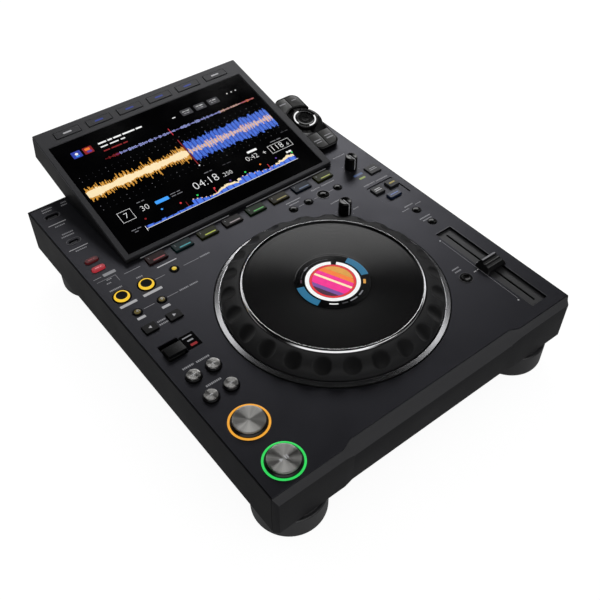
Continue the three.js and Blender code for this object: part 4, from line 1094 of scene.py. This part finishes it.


# Fader cap: its side as y and height, its stem as half width and top, its painted highlights as edges and
# heights
FADER_HALF_WIDTH = 12.2
FADER_SIDE = [
    (-9.6, 0.5), (6.8, 0.5), (6.6, 3.6), (3.6, 7.9), (1.6, 8.0), (0.9, 6.0), (-1.4, 5.7), (-1.9, 6.4),
    (-3.0, 6.4), (-3.5, 5.6), (-5.6, 5.2), (-6.6, 5.3), (-9.2, 3.4),
]
FADER_STEM = ((0.7, 1.5), (3.4, -5.55))
FADER_HIGHLIGHTS = [
    (-8.4, 8.4, 2.0, 2.7, 7.95, 8.05), (-8.4, 8.4, 3.0, 3.5, 7.9, 8.0),
    (-11.6, -8.8, 5.6, 6.1, 4.0, 4.35),
]


def make_fader():
    """A wide cap with a high back lip, a line across its dip and ends that slope in."""
    side = softened(FADER_SIDE, 0.4, closed=True)

    def row(sign, inward):
        halves = [FADER_HALF_WIDTH - 0.35 * max(0.0, z - 0.5) ** 1.15 - inward for y, z in side]
        return [(FADER_X + sign * half, FADER_Y + y, z) for half, (y, z) in zip(halves, side)]

    def end(sign):
        return [(x - sign * 0.15, FADER_Y + (y - FADER_Y) * 0.96, z - 0.12 * (z > 4))
                for x, y, z in row(sign, 0)]

    points = end(-1) + row(-1, 0.5) + row(1, 0.5) + end(1)
    count = len(side)
    last = len(points) - count
    ends = [[*range(count)], [*range(last, last + count)][::-1]]
    build = Build().add(points, quads(0, last, count) + ends)
    for half, top in FADER_STEM:
        build.block(FADER_X - half, FADER_X + half, FADER_Y - 4, FADER_Y + 4, -6.7, top)
    build.dress("fader_cap", "black_satin", "tempo_fader", "black_plastic", "tempo_fader_cap")
    # Pale strips on the cap's back lip and its left shoulder: painted highlights where those edges catch the
    # light.
    lip = Build()
    for left, right, front, back, low, high in FADER_HIGHLIGHTS:
        lip.block(FADER_X + left, FADER_X + right, FADER_Y + front, FADER_Y + back, low, high)
    lip.dress("fader_lip_highlight", "soft_white_print", "tempo_fader", "black_plastic")


# Print on the deck: left, right, y and, where it isn't the same for all, thickness
WHITE_LINES = [
    (-110.8, -11.4, 76.2, 0.9), (9.7, 111.3, 76.2, 0.9), (-158.6, -140.2, 168.6, 0.8),
    (-158.6, -139.4, 124.8, 0.8),
]
WHITE_PADS = [
    (-156.9, -140.3, 31.5, 3.2), (-133.6, -114.5, 31.7, 3.2), (-128, -120, 9.2, 3.0),
    (-151.8, -143.9, 10.5, 3.0), (-105.3, -84.5, 55.5, 1.3),
]
SOFT_LINES = [
    (-133, -116.2, 67), (-114.2, -104.3, 43.5), (-84.4, -67.6, 43.3), (-117.5, -106.2, 17.9),
    (-141, -130.4, 18.3), (51.5, 57.5, 44.4), (70.5, 75.2, 44.4), (89.5, 95.5, 44.4),
]
SOFT_LINE = 0.5

# Rows of plain dashes
DASH_ROWS = [
    (-154.3, -142.3, 54.9, 1.7), (-127.1, -120.6, 55.2, 1.7), (-66.4, -56.0, 43.5, 1.7),
    (-104.6, -95.5, 18.1, 1.7), (-93.9, -85.6, 18.1, 1.7), (-140.0, -132.0, -2.7, 1.7),
    (-140.3, -131.6, -6.7, 1.7), (-150.9, -140.5, -60.0, 1.9), (-137.9, -125.2, -60.3, 1.9),
    (-145.4, -130.8, -86.2, 1.9), (-149.6, -144.8, 69.4, 1.3), (-151.8, -147.3, 64.9, 1.3),
    (123.2, 137.6, 28.5, 1.5), (139.2, 154.4, 28.0, 1.5), (133.1, 144.0, -20.9, 1.4),
    (144.7, 151.9, -23.8, 1.0), (126.8, 135.7, -24.6, 1.0), (132.3, 145.7, -43.6, 1.4),
    (133.3, 144.9, -47.2, 1.4), (105.4, 113.6, -113.5, 1.4), (105.4, 113.2, -117.3, 1.4),
    (43.1, 60.7, 54.9, 1.4), (44.8, 56.3, 51.2, 1.4), (76.3, 86.8, 56.1, 1.4), (89.4, 106.3, 56.1, 1.4),
    (128.5, 144.2, 84.2, 1.4), (78.7, 91.7, 28.2, 1.4), (91.2, 98.1, 8.2, 1.2),
    (-153.3, -142.6, 194.4, 1.5), (-154.0, -144.7, 190.8, 1.5), (-133.0, -126.9, 194.4, 1.5),
    (-134.3, -128.2, 190.4, 1.5), (-153.6, -143.0, 164.2, 1.4), (-153.2, -142.0, 150.1, 1.5),
    (-155.7, -143.0, 146.2, 1.5), (-153.7, -142.5, 121.2, 1.4),
]

DASH_GAP = 0.5

# Other marks: plain rectangles as left, right, front and back, and dots
FADER_TICKS = ((119.6, 122.8, -127.4, -126.6), (124.2, 125.6, -127.1, -126.3))
FADER_SCALE = (126.05, 126.3, -174, -79.5)
FADER_DOTS = ((124.9, -175.5), (125.6, -77.9))
SOFT_PAD = (-149.3, -136.9, 74.6, 78.4)
SOFT_EDGES = ((-159.1, -151.2, 76.0, 76.6), (-158.3, -139.9, 70.9, 71.3), (-140.1, -139.7, 62.2, 70.9))
KNOB_MARKS = (-135, -90, -45, 0, 45, 90, 135)
KNOB_MARKS_RADIUS = 8.6
JOG_MODE_LIGHTS = [
    ("mode_light_blue", "#3d5580", "#1b2540", 125.8, 137.0, 45.6, 48.8),
    ("mode_light_green", "#93a845", "#3a4418", 127.6, 135.4, 39.4, 41.9),
]


def make_prints():
    white = Build()
    for line in WHITE_LINES:
        white.stamp(strip(*line))
    for pad in WHITE_PADS:
        white.stamp(strip(*pad, 0.6))
    for edges in FADER_TICKS:
        white.stamp(rectangle(*edges))
    for spot in FADER_DOTS:
        white.stamp(circle(*spot, 0.8, 16))
    white.dress("white_prints", "white_print", *ON_DECK)
    soft = Build()
    for line in SOFT_LINES:
        soft.stamp(strip(*line, SOFT_LINE))
    soft.stamp(rectangle(*FADER_SCALE))
    for node in reversed(KNOBS):
        x, y = box_middle(node)
        for turn in KNOB_MARKS:
            soft.stamp(circle(*polar(x, y, KNOB_MARKS_RADIUS, math.radians(90 - turn)), 0.35, 10))
    soft.stamp(rectangle(*SOFT_PAD, 0.4))
    for edges in SOFT_EDGES:
        soft.stamp(rectangle(*edges))
    for index, (left, right, y, tall) in enumerate(DASH_ROWS):
        step = 0
        while left < right - 0.3:
            wide = 0.9 + 0.5 * ripple(step, index)
            soft.stamp(strip(left, min(left + wide, right), y, tall))
            left += wide + DASH_GAP
            step += 1
    soft.dress("soft_prints", "soft_white_print", *ON_DECK)
    for name, glow, body, *edges in JOG_MODE_LIGHTS:
        light = Build().stamp(rectangle(*edges, 0.8), thick=LIT)
        light.dress(name, lit(name + "_glow", glow, 0.6, body), "case", "black_plastic")
    for text, node in (("4", "beat_loop_four_button"), ("8", "beat_loop_eight_button")):
        x, y, _, top = middle(node)
        digits(text, x, y, 4.4, "white_print", node + "_number", DECK, node, top)


# Jog wheel
RIM_SHADE_RADIUS = 103.9


def make_jog_base():
    rim = Build().lathe(softened([
        (12, -11), (104.9, -11), (104.9, -4.8), (107.9, -4.8), (107.9, -2.85), (104.9, -2.85), (104.9, 0.25),
        (104.4, 0.4), (100.5, 1.6), (99.9, 1.5), (99.5, 1.0), (99.5, -8.5), (12, -8.5),
    ], 0.25, closed=True), 192)
    # Faces beyond RIM_SHADE_RADIUS, in the gap under the plate's edge, take the dark material: painted
    # shade.
    rim.slots = [int(min(math.hypot(*rim.points[i][:2]) for i in face) > RIM_SHADE_RADIUS)
                 for face in rim.faces]
    rim.dress("jog_rim", "rim_metal dark_gap", "case", "rim_silver", "jog_base_ring", place=JOG)


def grip_section():
    """The grip's upper curve from its top to its foot, as in the CAD part."""
    run, rise = GRIP_RADIUS - GRIP_INNER, GRIP_TOP - GRIP_LOW
    points = []
    for i in range(GRIP_STEPS + 1):
        angle = QUARTER * i / GRIP_STEPS
        sine, cosine = math.sin(angle), max(0.0, math.cos(angle))
        points.append((GRIP_INNER + run * sine ** 0.9, GRIP_LOW + rise * cosine ** 0.8))
    return points


def dimple_depth(angle, radius, run, length):
    """How far a dimple goes in, at an angle round the wheel and a way along the grip's curve."""
    turn = (angle / TAU * DIMPLES + 0.5) % 1 - 0.5
    across = turn * TAU / DIMPLES * radius / DIMPLE_HALF_WIDTH
    along = (run - DIMPLE_MIDDLE * length) / DIMPLE_HALF_LENGTH
    inside = 1 - across ** 2 - along ** 2
    return DIMPLE_DEPTH * inside ** DIMPLE_SOFTNESS if inside > 0 else 0.0


def make_grip():
    curve = grip_section()
    lower = softened([
        curve[-1], (95, GRIP_LOW), (86.2, 10.7), (60, 10.7), (60, 13.2), (GRIP_INNER, 13.2), curve[0],
    ], 0.4)[1:-1]
    profile = curve + lower
    runs = [0.0]
    for first, second in zip(curve, curve[1:]):
        runs.append(runs[-1] + math.dist(first, second))
    around = DIMPLES * DIMPLE_SIDES
    rows = len(profile)
    points = []
    inner = []
    for row, (radius, height) in enumerate(profile):
        tangent = Vector(profile[min(row + 1, rows - 1)]) - Vector(profile[max(row - 1, 0)])
        inward = Vector((tangent.y, -tangent.x)).normalized()
        if inward.x > 0:
            inward.negate()
        for i in range(around):
            angle = TAU * i / around
            depth = dimple_depth(angle, radius, runs[row], runs[-1]) if row < len(curve) else 0.0
            points.append((*polar(0, 0, radius + inward.x * depth, angle), height + inward.y * depth))
            inner.append(depth > DIMPLE_SHADE * DIMPLE_DEPTH)
    faces = ([], [])
    for row in range(rows):
        here, after = row * around, (row + 1) % rows * around
        for i in range(around):
            j = (i + 1) % around
            face = [here + i, here + j, after + j, after + i]
            # Faces wholly inside a dimple's deeper part take the darker material: painted shade in the
            # hollows.
            faces[all(inner[c] for c in face)].append(face)
    build = Build().add(points, faces[0])
    build.faces += faces[1]
    build.slots += [1] * len(faces[1])
    build.dress("jog_grip", "grip_matte dimple_matte", "jog_wheel", "grip_plastic", "jog_grip_ring",
                place=JOG, sharp=50)


def make_platter():
    trim = Build().lathe(softened([
        (79.1, PLATTER_LOW), (81.9, PLATTER_LOW), (81.9, 15.2), (80.8, 17.1), (79.5, 18.0), (79.1, 17.9),
    ], 0.5, closed=True), 360)
    trim.dress("jog_trim", "trim_metal", "jog_wheel", "silver_trim", "jog_trim_ring", place=JOG)
    low, high = PLATTER_LOW, PLATTER_TOP
    face = [(78.8, low), (78.8, high - 0.1)]
    inner, outer = GROOVED
    half = GROOVE_HALF_WIDTH
    for i in range(GROOVES + 1):
        radius = outer - (outer - inner) * i / GROOVES
        face += [(radius + half, high), (radius, high - GROOVE_DEPTH), (radius - half, high)]
    face += [(34.2, high), (34.2, 4), (PLATTER_BORE, 4), (PLATTER_BORE, -8.2), (12, -8.2), (12, 2),
             (36.2, 2), (36.2, low)]
    disc = Build().lathe(face, 192)
    disc.dress("jog_face", "platter_black", "jog_wheel", "platter_face", "jog_platter", place=JOG)


# Centre display, its arcs as inner and outer radius, start, end, colour and steps
WHITE_ARC = (20.8, 24.4, 55, 403, 90)
RED_RING = (18.4, 20.5)
ARCS = [
    (26.2, 32.8, -22, 26, "teal_blue", 24), (26.2, 32.8, 158, 207, "teal_blue", 24),
    (26.6, 28.8, -44, -33, "gold", 6), (27.6, 28.0, 60, 138, "dim", 40), (27.2, 28.4, 224, 240, "white", 6),
    (27.2, 28.4, 247, 258, "dim", 6), (27.2, 28.4, 263, 279, "grey", 6), (27.2, 28.4, 285, 298, "grey", 6),
    (27.2, 28.4, 140, 148, "maroon", 6), (27.2, 28.4, 104, 116, "grey", 6),
]
STRIPE_STOPS = [-18.2, -13.5, -9.5, -1.0, 1.5, 6.0, 11.0, 18.2]
STRIPE_TONES = ["maroon", "purple", "magenta", "cream", "magenta", "orange", "gold"]
STRIPE_TURN = math.radians(24)
STRIPE_STEPS = 14
STRIPE_GAP = 0.1
STRIPES_RADIUS = 18.3


def make_centre_display():
    """A round screen with plain arcs, two rings and slanted stripes."""
    wide, top = DIAL_SCREEN, DIAL_SCREEN_TOP
    lens = Build().lathe(softened([
        (0, 13), (wide, 13), (wide, top - 0.1), (wide - 0.5, top), (0, top)], 0.2), 144)
    lens.dress("jog_lens", "screen_glass", "case", "screen_glass", "jog_display", place=JOG)
    art = Build()
    colours = "white ring_red magenta orange maroon purple teal_blue grey gold cream dim".split()
    art.stamp(sector(0, 0, *WHITE_ARC), top, colours.index("white"), LIT)
    art.band(0, 0, *RED_RING, top, top + LIT, colours.index("ring_red"), 96)
    for inner, outer, start, end, tone, steps in ARCS:
        art.stamp(sector(0, 0, inner, outer, start, end, steps), top, colours.index(tone), LIT)
    cosine, sine = math.cos(STRIPE_TURN), math.sin(STRIPE_TURN)
    for left, right, tone in zip(STRIPE_STOPS, STRIPE_STOPS[1:], STRIPE_TONES):
        left, right = left + STRIPE_GAP / 2, right - STRIPE_GAP / 2
        xs = [left + (right - left) * i / STRIPE_STEPS for i in range(STRIPE_STEPS + 1)]
        upper = [(x, math.sqrt(max(0.0, STRIPES_RADIUS ** 2 - x * x))) for x in xs]
        loop = [(x, -y) for x, y in upper] + upper[::-1]
        turned = [(x * cosine - y * sine, x * sine + y * cosine) for x, y in loop]
        art.stamp(turned, top, colours.index(tone), LIT)
    art.dress("jog_art", " ".join("lit_" + c for c in colours), "case", "screen_glass", place=JOG)


# Display
SLAB_KEYS = [-105.9 + 35.8 * i for i in range(6)]
SLAB_KEY_WIDTH = 27
SLAB_KEY_ROW = (164, 172.5)
SLAB_KEY_BOTTOM = -4.6
SLAB_KEY_TOP = 0.5


def make_display():
    refined("display_housing", "display_shell", "housing_plastic", "case", "housing_plastic", 0.5)
    front, back = SLAB_KEY_ROW
    gap = KEY_CLEARANCE
    keys = [rectangle(left - gap, left + SLAB_KEY_WIDTH + gap, front - gap, back + gap, 0.5, 3)
            for left in SLAB_KEYS]
    opening = rectangle(*GLASS, 0.8)
    bezel = Build().plate(rectangle(*DISPLAY, 1.2), [opening] + keys, -BEZEL_THICKNESS, 0, 0.45)
    bezel.plate(inset(opening, -0.02), [inset(opening, 2)], -BEZEL_THICKNESS, -2.45, 0.05)
    bezel.dress("display_frame", "bezel_satin", "case", "bezel_plastic", "display_bezel", place=SLAB)
    left, right, low, high = GLASS
    loop = rectangle(left + SEAM, right - SEAM, low + SEAM, high - SEAM, 0.8)
    glass = Build().stack(key_levels(loop, -2.1, -GLASS_SUNK, 0.15))
    glass.dress("display_glass", "screen_glass", "case", "screen_glass", "touch_glass", place=SLAB)
    mat = Build()
    marks = Build()
    for i, left in enumerate(SLAB_KEYS):
        loop = rectangle(left, left + SLAB_KEY_WIDTH, front, back, 0.5, 3)
        mat.stack(key_levels(loop, SLAB_KEY_BOTTOM, SLAB_KEY_TOP, 0.3))
        centre = left + SLAB_KEY_WIDTH / 2
        loop = rectangle(centre - 4.6, centre + 4.6, 167.3, 169.2, 0.4)
        marks.stamp(loop, SLAB_KEY_TOP, int(i not in (0, 5)), LIT)
    mat.block(-107.1, 101.3, 162.8, 173.7, SLAB_KEY_BOTTOM, -3.3)
    body = "display_key_mat"
    mat.dress("display_keys", "bezel_satin", body, "bezel_plastic", body, place=SLAB)
    colours = "white_print " + lit("key_print_blue", "#3a4a9c", 0.8)
    marks.dress("display_key_marks", colours, body, place=SLAB)


# What the screen shows: waves, bars and plain numbers
SCREEN_LEFT = -116
SCREEN_RIGHT = 104
WAVE_V = 85
WAVE_HALF = 14
PLAYHEAD_X = -2
THIN_WAVE_LEFT = -78
THIN_WAVE_V = 118
OVERVIEW_LEFT = -89
OVERVIEW_RIGHT = 92
OVERVIEW_V = 22
SCREEN_NUMBERS = [
    ("04:18", -8.5, 42.6, 13.5, "screen_time"), (".250", 16, 41.0, 7.2, "screen_time_part"),
    ("7", -97.5, 44.7, 9.5, "screen_deck_number"), ("30", -77.5, 44.6, 9.5, "screen_track_number"),
    ("118", 82.5, 45.6, 10.5, "screen_tempo"), (".6", 94.6, 44.2, 6, "screen_tempo_part"),
    ("0:42", 51, 46.6, 9, "screen_percent"),
]
SCREEN_COLOURS = (
    "white grey dim cream gold blue deep_blue peach sky red dark_red violet orange lavender green "
    "soft").split()


class Screen(Build):
    """Thin lit shapes on the display's glass, in layers from 1 to 3."""

    level = -GLASS_SUNK

    def shape(self, loop, colour, layer=1):
        top = self.level + 0.02 + 0.03 * layer
        self.prism(loop, self.level, top, SCREEN_COLOURS.index(colour))

    def bar(self, left, right, low, high, colour, layer=1, corner=0.0):
        self.shape(rectangle(left, right, low, high, corner), colour, layer)

    def upright(self, x, left, right, v, reach, colour, layer=1):
        """A bar of a wave, as far up as down."""
        self.bar(x - left, x + right, v - reach, v + reach, colour, layer)

    def dot(self, x, v, radius, colour, layer=1, sides=16):
        self.shape(circle(x, v, radius, sides), colour, layer)

    def dashes(self, left, low, high, lengths, colour, gap=1.3):
        """A row of plain dashes."""
        for length in lengths:
            self.bar(left, left + length, low, high, colour, 1, 0.3)
            left += length + gap


def spaced(start, end, steps):
    """The middles of equal steps from one place to another, numbered."""
    return [(i, start + (end - start) * (i + 0.5) / steps) for i in range(steps)]


def draw_waves(screen):
    # Main wave: warm to the left of the playhead, blue to the right
    for i, x in spaced(SCREEN_LEFT, PLAYHEAD_X, 118):
        swell = 0.66 + 0.12 * math.sin(i * 0.19) + 0.08 * math.sin(i * 0.57 + 1)
        reach = WAVE_HALF * swell * (0.45 + 0.75 * ripple(i, 1) ** 1.6)
        screen.upright(x, 0.48, 0.36, WAVE_V, reach, "gold")
        core = min(reach * 0.8, WAVE_HALF * swell * (0.34 + 0.2 * ripple(i, 2)))
        screen.upright(x, 0.49, 0.49, WAVE_V, core, "cream", 2)
    for i, x in spaced(PLAYHEAD_X + 1, SCREEN_RIGHT, 92):
        swell = 0.98 + 0.08 * math.sin(i * 0.8)
        reach = WAVE_HALF * swell * (0.82 + 0.3 * ripple(i, 3))
        screen.upright(x, 0.5, 0.4, WAVE_V, reach, "blue" if i % 4 else "deep_blue")
        core = WAVE_HALF * (0.12 + 0.34 * ripple(i, 4) ** 2)
        screen.upright(x, 0.5, 0.3, WAVE_V, core, "peach" if i % 3 else "lavender", 2)
    screen.bar(PLAYHEAD_X - 0.45, PLAYHEAD_X + 0.45, WAVE_V - 19, WAVE_V + 20, "dark_red", 3)
    screen.dot(PLAYHEAD_X, WAVE_V - 20.5, 0.8, "white", 3)
    for row in (-17.5, 17.5, -23, 23):
        for i in range(31):
            x = SCREEN_LEFT + 4 + i * 7.1
            screen.upright(x, 0.3, 0.3, WAVE_V + row, 0.3, "dim" if i % 4 else "grey")

    # Thin wave near the top
    for i, x in spaced(THIN_WAVE_LEFT, SCREEN_RIGHT, 132):
        tone = "dark_red" if i < 12 else "lavender" if i < 100 else "peach" if i < 119 else "orange"
        screen.upright(x, 0.5, 0.25, THIN_WAVE_V, 0.35 + 1.7 * ripple(i, 5) ** 1.5, tone)
    screen.bar(-66, SCREEN_RIGHT, THIN_WAVE_V - 0.25, THIN_WAVE_V + 0.25, "violet")
    screen.bar(PLAYHEAD_X - 0.3, PLAYHEAD_X + 0.3, 113, 123.5, "red", 2)

    # Overview wave near the bottom, over a white base line
    base, steps = OVERVIEW_V, 126
    for i, x in spaced(OVERVIEW_LEFT + 1, OVERVIEW_RIGHT - 1, steps):
        part = i / steps
        if part < 0.3:
            rise = 1.3 + 1.6 * ripple(i // 3, 6)
        elif part < 0.6:
            rise = 4.4 + 2.6 * math.sin(i * 0.21) + 1.6 * ripple(i, 6)
        else:
            rise = 4.8 + 2.4 * math.sin(i * 0.16 + 1) + 2.2 * ripple(i, 6)
        screen.bar(x - 0.76, x + 0.72, base, base + rise, "blue" if i % 5 else "deep_blue")
        if 0.42 < part < 0.62 or part > 0.86:
            screen.bar(x - 0.76, x + 0.6, base + rise * 0.62, base + rise, "cream", 2)
        elif part > 0.3 and i % 3 == 0:
            screen.bar(x - 0.6, x + 0.6, base + rise - 0.8, base + rise + 0.3, "peach", 2)
    screen.bar(OVERVIEW_LEFT, OVERVIEW_RIGHT, 21.3, 21.75, "white", 2)
    screen.bar(OVERVIEW_LEFT - 0.5, OVERVIEW_LEFT, 19.2, 25.2, "white", 2)
    for i, tone in enumerate("dark_red sky red green red violet green orange violet green".split()):
        screen.dot(-84 + i * 19.5, 31.5 + 3.4 * ripple(i, 8), 1.05, tone)
    for i, tone in enumerate(("dark_red", "red", "violet", "red")):
        screen.bar(-40 + i * 33 - 0.25, -40 + i * 33 + 0.25, base, 31, tone)


def draw_marks(screen):
    """Boxes, pills, dots and rows of dashes."""
    edge = 0.32
    for left, right, low, high in ((-104.5, -90.5, 38, 51.5), (73, 100, 40, 51)):
        screen.bar(left, right, low, low + edge, "white")
        screen.bar(left, right, high - edge, high, "white")
        screen.bar(left, left + edge, low + edge, high - edge, "white")
        screen.bar(right - edge, right, low + edge, high - edge, "white")
    screen.bar(-66, -51, 42.2, 46.4, "sky", 1, 1.0)
    for row in (
            (-48, 46, 46.8, (6, 4), "grey"), (-48, 43, 43.8, (5, 6), "grey"),
            (-81.5, 53, 53.8, (4, 3), "grey"), (-103, 26, 26.8, (5, 4), "grey"),
            (-101, 23.2, 24, (4,), "grey"), (-4, 52.4, 53.2, (5, 3), "grey"),
            (18, 52.4, 53.2, (4, 5), "dim")):
        screen.dashes(*row)
    screen.bar(50, 62, 52.8, 55.6, "white", 1, 0.6)
    screen.dashes(80, 54, 54.9, (7, 5), "grey")
    screen.bar(66, 66.5, 44, 48, "white")
    screen.bar(64.4, 68.2, 45.8, 46.3, "white")
    screen.dashes(86, 33, 35.4, (2.4, 3.4), "white", 0.6)
    for left in (24, 41, 58):
        screen.bar(left - 2, left + 11, 131, 139.5, "dim", 1, 1.2)
        screen.dashes(left, 136, 137.1, (3.4, 4.2), "white", 0.8)
        screen.dashes(left + 0.8, 133.2, 134.3, (2.6, 3), "soft", 0.8)
    for i in range(3):
        screen.dot(82 + i * 5.6, 137.6, 0.75, "white")
    for row in (
            (10, 133.6, 134.6, (4,), "white"), (-74, 138.4, 140.4, (9, 5, 9, 14, 7), "white", 1.6),
            (-74, 133.4, 134.9, (8, 10, 5), "white", 2.4), (-74, 127.4, 128.9, (7, 12, 5), "dark_red", 1.6)):
        screen.dashes(*row)
    screen.bar(-104, -94, 132.5, 141.5, "deep_blue", 1, 1.0)
    screen.dot(-99, 137.6, 1.7, "white", 2, 20)
    for pill in (
            (-101, -97, 134, 135.2, "sky", 2, 0.3), (-91.5, -81.5, 132.5, 141.5, "dark_red", 1, 1.0),
            (-89.6, -84, 136.8, 140.2, "orange", 2, 1.0), (-88.6, -83.4, 133.8, 136.4, "violet", 2, 0.8)):
        screen.bar(*pill)
    screen.dashes(98, 60, 60.8, (4, 4), "dim")


def make_screen():
    screen = Screen()
    draw_waves(screen)
    draw_marks(screen)
    colours = " ".join("lit_" + c for c in SCREEN_COLOURS)
    screen.dress("screen_picture", colours, "case", "screen_glass", place=SLAB)
    for text, x, v, size, name in SCREEN_NUMBERS:
        digits(text, x, v, size, "lit_white", name, SLAB, "case", Screen.level + 0.02, "screen_glass", 0.02)


# Selector island
POD_W = -5
DIAL_X = 136.7
DIAL_V = 67
DIAL_RADIUS = 14.2
DIAL_BORE = 3.3
DIAL_LOBES = 40
DIAL_LOBE_DEPTH = 0.3
DIAL_WELL = 20.5
DIAL_LIGHT = (10.8, 12.3)
DIAL_ARCS = ((91, 196), (259, 354))
# The well floor's arcs as start, end and slot: grey arcs at the near and far sides are a painted reflected
# sheen, black arcs between; WELL_MARKS are thin black breaks across the grey.
WELL_ARCS = ((91, 196, 0), (196, 259, 1), (259, 354, 0), (-6, 91, 1))
WELL_MARKS = (15, 42, 66, 212, 226, 243)
POD_KEY_STAND = 0.4
POD_DASHES = [
    (129.0, 34.6, 4.4, 1.3), (129.4, 31.4, 3.6, 1.1), (144.2, 36.2, 4.2, 1.2), (144.6, 32.4, 4.2, 1.6),
    (128.8, 97.0, 4.0, 1.4), (144.4, 97.4, 3.0, 1.0),
]


def make_pod():
    refined("selector_pod", "island_body", "pod_gloss", "case", "pod_plastic", 0.6)
    refined("pod_key_mat", "island_keys", "pod_key_satin", "pod_key_mat", "pod_key_plastic", 0.5)
    floor, base, top = POD_W - 2.6, POD_W - 0.4, POD_W + 2.8
    light_inner, light_outer = DIAL_LIGHT
    place = {"place": SLAB, "centre": (DIAL_X, DIAL_V, 0)}
    dial = Build().lathe(softened([
        (DIAL_BORE, base + 0.4), (DIAL_RADIUS - 0.5, base + 0.4), (DIAL_RADIUS, base + 1.0),
        (DIAL_RADIUS, top - 0.9), (DIAL_RADIUS - 0.8, top), (light_outer + 0.25, top - 0.1),
        (light_outer + 0.1, top - 0.6), (DIAL_BORE, top - 0.6),
    ], 0.3, closed=True), 180, DIAL_X, DIAL_V)
    for i, (px, py, pz) in enumerate(dial.points):
        dx, dy = px - DIAL_X, py - DIAL_V
        radius = math.hypot(dx, dy)
        if radius > DIAL_RADIUS - DIAL_LOBE_DEPTH:
            wave = 0.5 - 0.5 * math.cos(DIAL_LOBES * math.atan2(dy, dx))
            scale = (radius - DIAL_LOBE_DEPTH * wave) / radius
            dial.points[i] = (DIAL_X + dx * scale, DIAL_V + dy * scale, pz)
    rim = light_inner - 0.8
    dish = rimmed(light_inner - 0.2, rim, top - 1.6, 0.15, top, 0.2)
    dish += domed(rim, top, -1.0, top - 1.0, 14, 1)
    dial.lathe(dish, 96, DIAL_X, DIAL_V)
    dial.dress("dial_body", "button_gloss", "selector_knob", "black_plastic", "selector_knob",
               sharp=60, **place)
    light = Build()
    for start, end in DIAL_ARCS:
        light.prism(sector(DIAL_X, DIAL_V, *DIAL_LIGHT, start, end, 40), top - 0.6, top - 0.25)
    light.dress("dial_light", "lit_white", "selector_knob", place=SLAB)
    # The well's floor: black at the sides, grey where a sheen would show: painted reflection.
    well = Build()
    for start, end, slot in WELL_ARCS:
        loop = sector(DIAL_X, DIAL_V, DIAL_RADIUS + 0.5, DIAL_WELL - 0.3, start + 0.6, end - 0.6, 30)
        well.prism(loop, floor, floor + 0.5, slot)
    for angle in WELL_MARKS:
        loop = sector(DIAL_X, DIAL_V, DIAL_RADIUS + 0.7, DIAL_WELL - 0.5, angle - 1.6, angle + 1.6, 4)
        well.prism(loop, floor + 0.5, floor + 0.62, 0)
    well.dress("well_floor", "button_gloss pod_key_satin", "case", "pod_plastic", **place)
    dashes = Build()
    for x, v, half, thick in POD_DASHES:
        dashes.stamp(centred(x, v, 2 * half, thick, 0.3), POD_W + POD_KEY_STAND)
    dashes.dress("pod_key_dashes", "soft_white_print", "pod_key_mat", place=SLAB)


def make_inside():
    """CAD pieces that stay get a better finish."""
    for node, material in (("main_board", "board_laminate"), ("power_supply", "plain_steel"),
                           ("jog_post", "plain_steel"), ("selector_stem", "plain_steel")):
        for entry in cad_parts[node].material_slots:
            entry.material = MATERIALS[material]


bpy.context.scene.view_settings.view_transform = "Standard"
make_camera()
make_world()
make_stage()
make_lights()
make_case()
make_feet()
make_plate()
make_recesses()
make_transport()
make_hot_cues()
make_left_keys()
make_lever()
make_right_keys()
make_knobs()
make_fader()
make_prints()
make_jog_base()
make_grip()
make_platter()
make_centre_display()
make_display()
make_screen()
make_pod()
make_inside()
